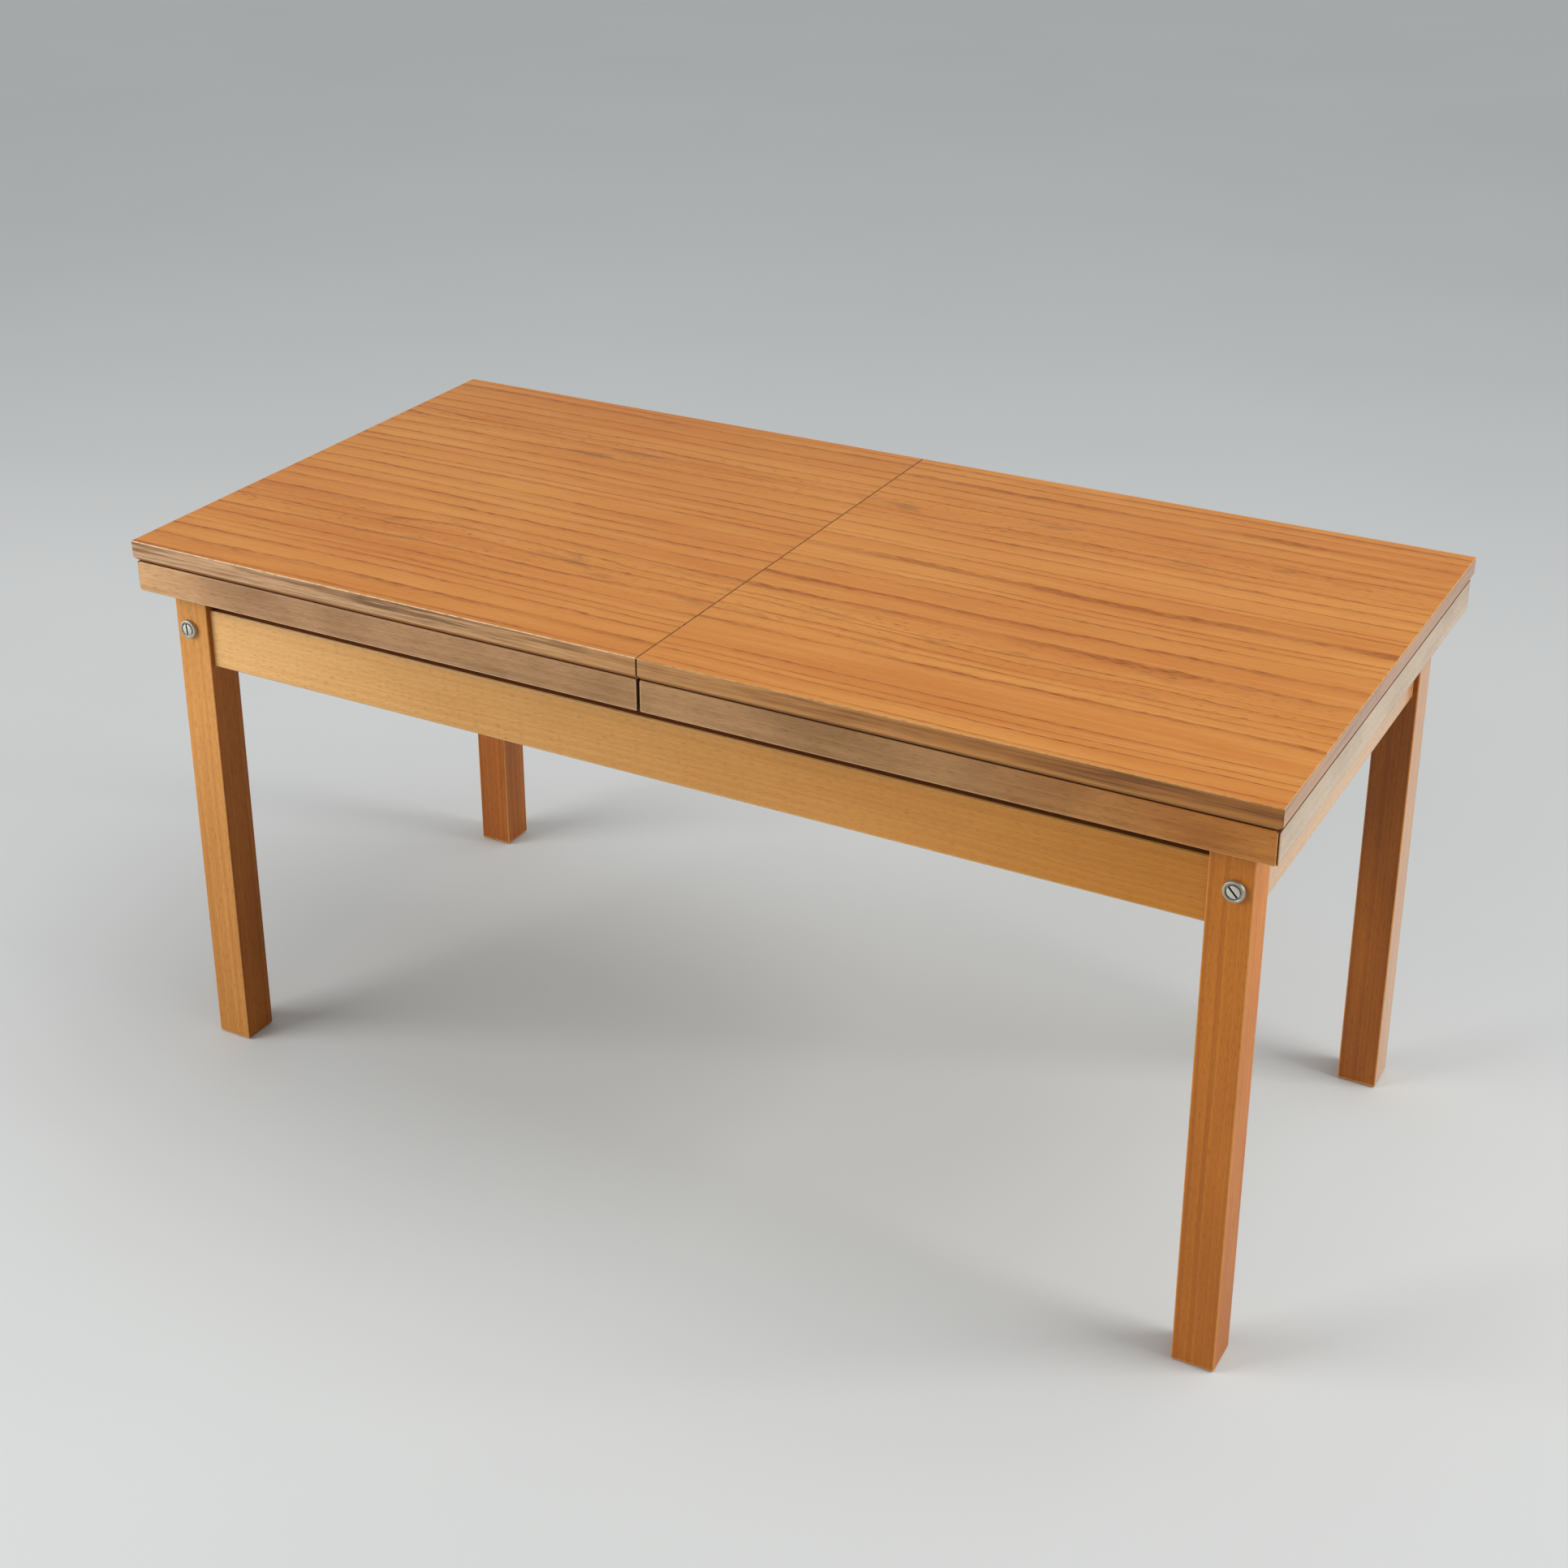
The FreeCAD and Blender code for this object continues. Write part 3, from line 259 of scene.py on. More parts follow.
# Their outer faces have more lacquer, and a paler shade as painted highlight
outer_face_highlight = stained_beech(
    "stained beech, lacquered upright with painted highlight", 2, [(-500, "#C88036", "#A6621E"), (500, "#D0904C", "#B07230")],
    "#74400F", foot=0.3, satin=0.34, shine=0.5, lacquer=0.8)
for row, wood, other_wood in (("front", front_beech, inner_face_shade), ("rear", rear_pair_in_shade, outer_face_highlight)):
    for side, outward in (("left", -1), ("right", 1)):
        post = eased(f"leg_{row}_{side}", LEG_ARRIS, wood, leg_worn)
        post.data.materials.append(other_wood)
        # Inner faces of the front pair take the painted shade, outer faces of the rear pair the painted
        # highlight
        for polygon in post.data.polygons:
            if polygon.normal.x * (-outward if row == "front" else outward) > FACING:
                polygon.material_index = 2


# Long aprons: beech boards glued and dowelled between the legs, a paler and yellower lot
# of the same stained timber. Their top edges, out of sight under the skirts, are dark with painted shade.
APRON_ARRIS = 0.8 * MM
apron_beech = stained_beech(
    "stained beech, lengthwise", 0, [(-500, "#EBB674", "#D29A56"), (-50, "#D29853", "#B47E3C"),
                                     (480, "#CA8129", "#AA661A")], "#85551C", contrast=0.36, wander_mm=14.0)
apron_worn = stained_beech(
    "stained beech, worn lengthwise", 0, [(-500, "#E4BF86", "#CEA264"), (480, "#D49C4C", "#B87E30")],
    "#94642C", band_mm=2.5, wander_mm=5.0)
apron_top_shade = stained_beech("stained beech, edge in painted shade", 0, [(0, "#894B20", "#653716")], "#4A2810",
                           satin=0.6)
for apron in ("apron_front", "apron_rear"):
    board = eased(apron, APRON_ARRIS, apron_beech, apron_worn)
    board.data.materials.append(apron_top_shade)
    # The top edges take the painted shade
    for polygon in board.data.polygons:
        if polygon.normal.z > FACING:
            polygon.material_index = 2


# End rails: short beech boards on edge between the legs of each end, stained and lacquered.
# Their long edges are softened, and bolts through the legs draw them tight.
RAIL_ARRIS = 1.2 * MM
# The rail at the right end is paler, as painted light and sheen from the right
rail_beech = stained_beech(
    "stained beech, crosswise", 1, [(-500, "#CE9656", "#AD7338"), (500, "#D8A468", "#BA8448")], "#80501C",
    band_mm=3.5, satin=0.34, shine=0.5, lacquer=0.9)
rail_worn = stained_beech(
    "stained beech, worn crosswise", 1, [(-500, "#DBA86C", "#BC8448"), (500, "#DAA462", "#BC8040")],
    "#8E5A28", band_mm=3.5)
for rail in ("end_rail_left", "end_rail_right"):
    eased(rail, RAIL_ARRIS, rail_beech, rail_worn)


# Knock-down bolts and their cup washers: turned steel with dull nickel plate. Each bolt has a
# flat cheese head with a coin slot, and sits down in the raised rim of its washer on the leg face.
BOLT_LENGTH = 60 * MM
BOLT_HEAD_RADIUS = 5.4 * MM
BOLT_HEAD_THICK = 2.6 * MM
BOLT_SHANK_RADIUS = 3.0 * MM
BOLT_SLOT = (16.2 * MM, 1.7 * MM, 1.6 * MM)
BOLT_TURNS = {"front_left": 97, "front_right": 133, "rear_left": 110, "rear_right": 15}
WASHER_RADIUS = 9.2 * MM
WASHER_SEAT = 1.6 * MM
WASHER_RIM = 3.9 * MM
CLEAR_OF_WASHER = 50 * MM
# Points this near to the widest of a fastener are on its head, and a corner past this angle stays crisp
HEAD_MARGIN = 0.2 * MM
CRISP_ANGLE = math.radians(35)


# Steel with a thin plate: grey, with tarnish patches and fine scratches that break its gloss
def plated_steel(name, bright, dull, low_rough, high_rough):
    material, tree, place = new_material(name)
    # Tarnish patches about 4 mm across, and scratches 0.4 mm wide, coarser than real ones so that they show
    patches = add(tree, "TexNoise", {"Vector": place, "Scale": 1 / (4 * MM), "Detail": 3.0})
    scratch = add(tree, "TexNoise", {"Vector": place, "Scale": 1 / (0.4 * MM), "Detail": 1.0})
    colour = add(tree, "Mix", {"Factor": patches, "A": srgb(bright), "B": srgb(dull)}, data_type="RGBA")
    rough = add(tree, "MapRange", {"Value": patches, "From Min": 0.3, "From Max": 0.7, "To Min": low_rough,
                                   "To Max": high_rough})
    relief = add(tree, "Bump", {"Height": scratch, "Strength": 0.08, "Distance": 0.05 * MM})
    skin = add(tree, "BsdfPrincipled", {"Base Color": colour, "Metallic": 1.0, "Roughness": rough,
                                        "Normal": relief})
    add(tree, "OutputMaterial", {"Surface": skin})
    return material


# A smooth stuff in two tones: spots of the second tone, so many mm across, on a ground of the first.
# The spots show where the pattern is between the two limits, and the roughness follows it.
def spotted(name, ground, spot, spot_mm, ragged, limits, roughness, ior=1.5, milky=0.0):
    material, tree, place = new_material(name)
    spots = add(tree, "TexNoise", {"Vector": place, "Scale": 1 / (spot_mm * MM), "Detail": ragged})
    shown = add(tree, "MapRange", {"Value": spots, "From Min": limits[0], "From Max": limits[1]})
    colour = add(tree, "Mix", {"Factor": shown, "A": srgb(ground), "B": srgb(spot)}, data_type="RGBA")
    rough = add(tree, "MapRange", {"Value": spots, "To Min": roughness[0], "To Max": roughness[1]})
    skin = add(tree, "BsdfPrincipled", {"Base Color": colour, "Roughness": rough, "IOR": ior,
                                        "Subsurface Weight": milky})
    add(tree, "OutputMaterial", {"Surface": skin})
    return material


# A shape turned about Z from a profile of (radius, height) points, the first and last on the axis
def turned(name, profile, steps=48):
    shape = bmesh.new()
    ring = [shape.verts.new((radius, 0, height)) for radius, height in profile]
    edges = [shape.edges.new(pair) for pair in zip(ring, ring[1:])]
    bmesh.ops.spin(shape, geom=ring + edges, cent=(0, 0, 0), axis=(0, 0, 1), angle=2 * math.pi, steps=steps,
                   use_duplicate=False)
    bmesh.ops.remove_doubles(shape, verts=shape.verts, dist=WELD)
    bmesh.ops.recalc_face_normals(shape, faces=shape.faces)
    return piece_from(shape, name, ())


# The separate solids of a CAD group, each as its lowest and highest corner and its points
def solids(node):
    shape = copied(node)
    found = []
    unseen = set(shape.verts)
    while unseen:
        island = [unseen.pop()]
        for vert in island:
            for edge in vert.link_edges:
                other = edge.other_vert(vert)
                if other in unseen:
                    unseen.remove(other)
                    island.append(other)
        points = [vert.co.copy() for vert in island]
        low = Vector([min(point[i] for point in points) for i in range(3)])
        high = Vector([max(point[i] for point in points) for i in range(3)])
        found.append((low, high, points))
    shape.free()
    return sorted(found, key=lambda solid: tuple(round(value, 4) for value in solid[0]))


# Where each screw or bolt of a CAD group bears: the seat under its head, and the way from head to tip
def seats(node):
    found = []
    for low, high, points in solids(node):
        axis = max(range(3), key=lambda i: high[i] - low[i])
        side = (axis + 1) % 3
        wide = [point[axis] for point in points if point[side] > high[side] - HEAD_MARGIN]
        seat = (low + high) / 2
        forward = sum(wide) / len(wide) < seat[axis]
        aim = Vector([0, 0, 0])
        aim[axis] = 1 if forward else -1
        seat[axis] = max(wide) if forward else min(wide)
        found.append((seat, aim))
    return found


# A tree with named inputs, each with its kind of socket, and one output of geometry
def open_tree(name, result, inputs):
    tree = bpy.data.node_groups.new(name, "GeometryNodeTree")
    for label, kind in inputs.items():
        tree.interface.new_socket(label, in_out="INPUT", socket_type="NodeSocket" + kind)
    tree.interface.new_socket(result, in_out="OUTPUT", socket_type="NodeSocketGeometry")
    return tree, add(tree, "NodeGroupInput").outputs


# One turned fastener, slotted across its head, stands on every point against "aim"
# and is turned about its own axis by "turn"
def fastener_tree():
    tree, given = open_tree("slotted fasteners", "Fasteners", {
        "Points": "Geometry", "Fastener": "Object", "Slot Width": "Float", "Slot Depth": "Float",
        "Slot Length": "Float", "Head Top": "Float", "Finish": "Material", "Slot Shade": "Material"})
    body = add(tree, "GeometryNodeObjectInfo", {"Object": given["Fastener"]}).outputs["Geometry"]
    # The slot's cutter reaches as far above the head as into it
    double = add(tree, "Math", {0: given["Slot Depth"], 1: 2.0}, operation="MULTIPLY")
    size = add(tree, "CombineXYZ", {"X": given["Slot Length"], "Y": given["Slot Width"], "Z": double})
    cutter = add(tree, "GeometryNodeMeshCube", {"Size": size})
    top = add(tree, "CombineXYZ", {"Z": given["Head Top"]})
    placed = add(tree, "GeometryNodeTransform", {"Geometry": cutter, "Translation": top})
    marked = add(tree, "GeometryNodeStoreNamedAttribute",
                 {"Geometry": placed, "Name": "slot", "Value": True}, data_type="BOOLEAN", domain="FACE")
    slotted = add(tree, "GeometryNodeMeshBoolean", {"Mesh 1": body, "Mesh 2": marked},
                  operation="DIFFERENCE", solver="EXACT")
    aim = add(tree, "GeometryNodeInputNamedAttribute", {"Name": "aim"}, data_type="FLOAT_VECTOR")
    turn = add(tree, "GeometryNodeInputNamedAttribute", {"Name": "turn"}, data_type="FLOAT")
    back = add(tree, "VectorMath", {0: aim, 1: (-1, -1, -1)}, operation="MULTIPLY")
    upright = add(tree, "FunctionNodeAlignRotationToVector", {"Vector": back}, axis="Z")
    spin = add(tree, "FunctionNodeAxisAngleToRotation", {"Axis": (0, 0, 1), "Angle": turn})
    facing = add(tree, "FunctionNodeRotateRotation", {"Rotation": upright, "Rotate By": spin},
                 rotation_space="LOCAL")
    stood = add(tree, "GeometryNodeInstanceOnPoints", {"Points": given["Points"], "Rotation": facing,
                                                       "Instance": slotted})
    real = add(tree, "GeometryNodeRealizeInstances", {"Geometry": stood})
    finish = add(tree, "GeometryNodeSetMaterial", {"Geometry": real, "Material": given["Finish"]})
    # The slots' faces take the painted shade
    in_slot = add(tree, "GeometryNodeInputNamedAttribute", {"Name": "slot"}, data_type="BOOLEAN")
    shade_in_slot = add(tree, "GeometryNodeSetMaterial", {"Geometry": finish, "Material": given["Slot Shade"],
                                                  "Selection": in_slot})
    add(tree, "NodeGroupOutput", {"Fasteners": shade_in_slot})
    return tree


# Runs a tree on a mesh with its named inputs, and leaves a plain mesh piece
def grown(name, start, tree, values):
    holder = in_scene(name + "_start", start)
    maker = holder.modifiers.new(name, "NODES")
    maker.node_group = tree
    for item in tree.interface.items_tree:
        if item.in_out == "INPUT" and item.name in values:
            maker[item.identifier] = values[item.name]
    mesh = bpy.data.meshes.new_from_object(holder.evaluated_get(bpy.context.evaluated_depsgraph_get()))
    mesh.name = name
    bpy.data.objects.remove(holder)
    mesh.polygons.foreach_set("use_smooth", [True] * len(mesh.polygons))
    mesh.set_sharp_from_angle(angle=CRISP_ANGLE)
    return in_scene(name, mesh)


# A group of fasteners in its CAD node's place. Each place is a seat, an aim and a turn in degrees,
# and each slot is so long, wide and deep.
def fasten(name, node, places, fastener, slot_size, head_top, finish):
    points = bpy.data.meshes.new(name + "_points")
    points.from_pydata([seat for seat, aim, turn in places], [], [])
    points.attributes.new("aim", "FLOAT_VECTOR", "POINT").data.foreach_set(
        "vector", [value for seat, aim, turn in places for value in aim])
    points.attributes.new("turn", "FLOAT", "POINT").data.foreach_set(
        "value", [math.radians(turn) for seat, aim, turn in places])
    long, wide, deep = slot_size
    group = grown(name, points, slotted_fasteners, {
        "Fastener": fastener, "Slot Length": long, "Slot Width": wide, "Slot Depth": deep,
        "Head Top": head_top, "Finish": finish, "Slot Shade": slot_shade})
    stand_for(group, node)
    bpy.data.objects.remove(fastener)


nickel = plated_steel("dull nickel plate on steel", "#E8E5DB", "#C8C4B8", 0.46, 0.6)
aged_nickel = plated_steel("tarnished nickel plate on steel", "#CFCABD", "#A09A8A", 0.44, 0.58)
# Painted shade in the slots: nearly black, matt, in crumbs about 0.6 mm across
slot_shade = spotted("painted slot shade", "#17110C", "#3A2C20", 0.6, 3.0, (0, 1), (0.8, 1.0))
slotted_fasteners = fastener_tree()
bolt = turned("bolt", [
    (0, -BOLT_LENGTH), (BOLT_SHANK_RADIUS, -BOLT_LENGTH), (BOLT_SHANK_RADIUS, 0), (BOLT_HEAD_RADIUS, 0),
    (BOLT_HEAD_RADIUS, BOLT_HEAD_THICK - 0.6 * MM),
    (BOLT_HEAD_RADIUS - 0.2 * MM, BOLT_HEAD_THICK - 0.2 * MM),
    (BOLT_HEAD_RADIUS - 0.6 * MM, BOLT_HEAD_THICK), (0, BOLT_HEAD_THICK)])
washer = turned("washer", [
    (0, 0), (WASHER_RADIUS, 0), (WASHER_RADIUS - 0.1 * MM, WASHER_RIM - 0.9 * MM),
    (WASHER_RADIUS - 0.4 * MM, WASHER_RIM - 0.3 * MM), (WASHER_RADIUS - 1.0 * MM, WASHER_RIM),
    (BOLT_HEAD_RADIUS + 1.8 * MM, WASHER_RIM), (BOLT_HEAD_RADIUS + 1.4 * MM, WASHER_RIM - 0.4 * MM),
    (BOLT_HEAD_RADIUS + 1.3 * MM, WASHER_SEAT), (0, WASHER_SEAT)])
bolt_places = []
for seat, aim in seats("leg_bolts"):
    corner = ("front" if seat.y < 0 else "rear") + "_" + ("left" if seat.x < 0 else "right")
    bolt_places.append((seat, aim, BOLT_TURNS[corner]))
fasten("slotted_bolts", "leg_bolts", bolt_places, bolt, BOLT_SLOT, BOLT_HEAD_THICK, nickel)
leg_faces = [(seat + aim * WASHER_SEAT, aim, 0) for seat, aim, turn in bolt_places]
# A washer has no slot, so the cutter stands clear of it
fasten("cup_washers", "bolt_washers", leg_faces, washer, (1 * MM, 1 * MM, 1 * MM), CLEAR_OF_WASHER,
       aged_nickel)


# Barrel nuts, joint dowels and felt buttons: the cross nuts in the end rails are zinc-plated steel,
# the dowels plain beech glued in the joints, and the buttons pressed felt glued on the leg tops.
PLAIN_BEECH = [(0, "#D3B083", "#BE966A")]


# A CAD piece whose shape is right stays, and takes this finish
def coated(finish, *nodes):
    for node in nodes:
        materials = frame["nodes"][node].data.materials
        materials.clear()
        materials.append(finish)


# Pressed felt: dark brown, matt, with a tangle of paler hairs
def pressed_felt(name, dark, pale):
    material, tree, place = new_material(name)
    # Hairs drawn 0.5 mm wide, coarser than real wool so that they show
    hairs = add(tree, "TexNoise", {"Vector": place, "Scale": 1 / (0.5 * MM), "Detail": 5.0,
                                   "Distortion": 1.5})
    tangle = add(tree, "MapRange", {"Value": hairs, "From Min": 0.4, "From Max": 0.65})
    colour = add(tree, "Mix", {"Factor": tangle, "A": srgb(dark), "B": srgb(pale)}, data_type="RGBA")
    nap = add(tree, "Bump", {"Height": hairs, "Strength": 0.6, "Distance": 0.3 * MM})
    skin = add(tree, "BsdfPrincipled", {"Base Color": colour, "Roughness": 0.95, "Sheen Weight": 0.4,
                                        "Normal": nap})
    add(tree, "OutputMaterial", {"Surface": skin})
    return material


zinc = plated_steel("zinc plate on steel", "#B9BBBC", "#8F9294", 0.34, 0.5)
# Beech as it comes from the plane, with no stain: pinkish cream, fine darker pores and flecks
plain_lengthwise, plain_crosswise = [
    stained_beech(f"plain beech, {way}", axis, PLAIN_BEECH, "#98704A", band_mm=5.0, satin=0.6)
    for axis, way in enumerate(("lengthwise", "crosswise"))]
coated(zinc, "barrel_nuts")
coated(plain_lengthwise, "joint_dowels")
coated(pressed_felt("pressed felt", "#33291F", "#5A4A3A"), "felt_buttons")


# Lift fittings: steel pivot blocks and slotted tracks, zinc plated and screwed in pairs under the
# aprons and the carrier, with their edges broken on the grinder.
FITTING_ARRIS = 0.5 * MM
zinc_worn = plated_steel("zinc plate, rubbed edges", "#D2D3D3", "#AFB1B2", 0.25, 0.4)
for level in ("lower", "upper"):
    for row in ("front", "rear"):
        for fitting in ("pivot_block", "track"):
            eased(f"{level}_{fitting}_{row}", FITTING_ARRIS, zinc, zinc_worn)


# Lift screws: round-headed wood screws that hold the lift fittings to the wood.
# They are turned from steel, slotted and zinc plated.
SCREW_RADIUS = 2 * MM
SCREW_POINT = 6 * MM
SCREW_HEAD_RADIUS = 4.0 * MM
SCREW_HEAD_THICK = 2.2 * MM
SCREW_SLOT = (12 * MM, 1.2 * MM, 1.1 * MM)
# From one screw to the next, in degrees
SLOT_TURN = 137.5


# Slotted wood screws on every screw of a CAD group, their slots left at odd angles
def wood_screws(node, shank):
    screw = turned("wood_screw", [
        (0, -shank), (SCREW_RADIUS, SCREW_POINT - shank), (SCREW_RADIUS, 0), (SCREW_HEAD_RADIUS, 0),
        (SCREW_HEAD_RADIUS - 0.1 * MM, 0.7 * MM), (3.5 * MM, 1.4 * MM), (2.5 * MM, 1.95 * MM),
        (1.2 * MM, 2.15 * MM), (0, SCREW_HEAD_THICK)], steps=24)
    places = [(seat, aim, SLOT_TURN * number) for number, (seat, aim) in enumerate(seats(node))]
    fasten(node + "_slotted", node, places, screw, SCREW_SLOT, SCREW_HEAD_THICK, zinc)


wood_screws("lower_screws", 14 * MM)


# Scissor arms: flat steel bars with round ends in two pairs, zinc plated, riveted on studs at the
# middle and joined across the table by round shafts.
for node in ("outer_arm_front", "outer_arm_rear", "inner_arm_front", "inner_arm_rear"):
    eased(node, FITTING_ARRIS, zinc, zinc_worn)
coated(zinc, "lower_pivot_shaft", "upper_glide_shaft", "upper_pivot_shaft", "lower_glide_shaft",
       "centre_studs")


# Glides: short nylon rollers on the shaft ends, turned from rod, that run in the tracks. Natural nylon
# is milky white and slightly waxy, greyed by the steel it rubs on in marks about 3 mm across.
nylon = spotted("natural nylon", "#E2DFD2", "#A9A79E", 3, 4.0, (0.45, 0.75), (0.4, 0.6), ior=1.53, milky=0.1)
coated(nylon, "upper_glides", "lower_glides")


# Carrier: two guide rails of planed beech on the upper lift fittings, tied by slats screwed into
# their inner faces, with steel stops that end the slide of the half tops.
BEECH_ARRIS = 1.0 * MM
SLAT_ROUNDING = 1.5 * MM
plain_worn = stained_beech("plain beech, rubbed lengthwise", 0, [(0, "#DCBD92", "#C9A377")], "#A57E56",
                           band_mm=5.0, satin=0.5)
for rail in ("guide_rail_front", "guide_rail_rear"):
    eased(rail, BEECH_ARRIS, plain_lengthwise, plain_worn)
eased("slide_stops", FITTING_ARRIS, zinc, zinc_worn)
wood_screws("carrier_screws", 16 * MM)


# A row of planed bars with rounded long edges: the bar is swept from a filleted section
def slat_tree():
    tree, given = open_tree("planed slats", "Slats", {
        "Points": "Geometry", "Length": "Float", "Width": "Float", "Thickness": "Float",
        "Rounding": "Float", "Finish": "Material"})
    half = add(tree, "Math", {0: given["Length"], 1: 0.5}, operation="MULTIPLY")
    minus = add(tree, "Math", {0: given["Length"], 1: -0.5}, operation="MULTIPLY")
    near = add(tree, "CombineXYZ", {"Y": minus})
    far = add(tree, "CombineXYZ", {"Y": half})
    line = add(tree, "GeometryNodeCurvePrimitiveLine", {"Start": near, "End": far})
    section = add(tree, "GeometryNodeCurvePrimitiveQuadrilateral",
                  {"Width": given["Width"], "Height": given["Thickness"]})
    soft = add(tree, "GeometryNodeFilletCurve", {"Curve": section, "Count": 3, "Limit Radius": True,
                                                 "Radius": given["Rounding"]}, mode="POLY")
    bar = add(tree, "GeometryNodeCurveToMesh", {"Curve": line, "Profile Curve": soft, "Fill Caps": True})
    row = add(tree, "GeometryNodeInstanceOnPoints", {"Points": given["Points"], "Instance": bar})
    real = add(tree, "GeometryNodeRealizeInstances", {"Geometry": row})
    finish = add(tree, "GeometryNodeSetMaterial", {"Geometry": real, "Material": given["Finish"]})
    add(tree, "NodeGroupOutput", {"Slats": finish})
    return tree


slat_solids = solids("carrier_slats")
slat_size = slat_solids[0][1] - slat_solids[0][0]
slat_points = bpy.data.meshes.new("slat_points")
slat_points.from_pydata([(low + high) / 2 for low, high, points in slat_solids], [], [])
slats = grown("planed_slats", slat_points, slat_tree(), {
    "Length": slat_size.y, "Width": slat_size.x, "Thickness": slat_size.z, "Rounding": SLAT_ROUNDING,
    "Finish": plain_crosswise})
stand_for(slats, "carrier_slats")


# Insert leaf: a chipboard panel laid on the slats, faced with the same printed laminate as the top.
# The raw board shows at its edges, and beech dowels stand out of the edge that meets the tops.
LEAF_WIDTH = 275 * MM
FLAME_PLACE = -125 * MM
LINE_PITCH = 20.5 * MM
# In mm, so deep that a flat sheet shows one even slice of its patterns
PRINT_DEPTH = 1000
RIM_ROUNDING = 0.6 * MM
# What lies this near to a top or a seam belongs to it
AT_TOP = 0.1 * MM
AT_SEAM = 1 * MM


# Chipboard as it is sawn: a patchwork of pale and brown chips, dark dust and pits between them, quite matt
def raw_chipboard(name, pale, dark, chip):
    material, tree, place = new_material(name)
    # Chips about 5 by 5 by 2 mm, laid flat by the press
    flat = add(tree, "VectorMath", {0: place, 1: (1 / (5 * MM), 1 / (5 * MM), 1 / (2 * MM))},
               operation="MULTIPLY")
    chips = add(tree, "TexVoronoi", {"Vector": flat, "Scale": 1.0}).outputs["Color"]
    dust = add(tree, "TexNoise", {"Vector": place, "Scale": 1 / (1.5 * MM), "Detail": 4.0})
    each = add(tree, "SeparateColor", {"Color": chips})
    body = add(tree, "Mix", {"Factor": each, "A": srgb(pale), "B": srgb(dark)}, data_type="RGBA")
    gaps = add(tree, "MapRange", {"Value": dust, "From Min": 0.5, "From Max": 0.7, "To Max": 0.6})
    colour = add(tree, "Mix", {"Factor": gaps, "A": body, "B": srgb(chip)}, data_type="RGBA")
    rough = add(tree, "MapRange", {"Value": dust, "To Min": 0.75, "To Max": 0.95})
    pits = add(tree, "Bump", {"Height": dust, "Strength": 0.4, "Distance": 0.4 * MM})
    skin = add(tree, "BsdfPrincipled", {"Base Color": colour, "Roughness": rough, "Normal": pits})
    add(tree, "OutputMaterial", {"Surface": skin})
    return material


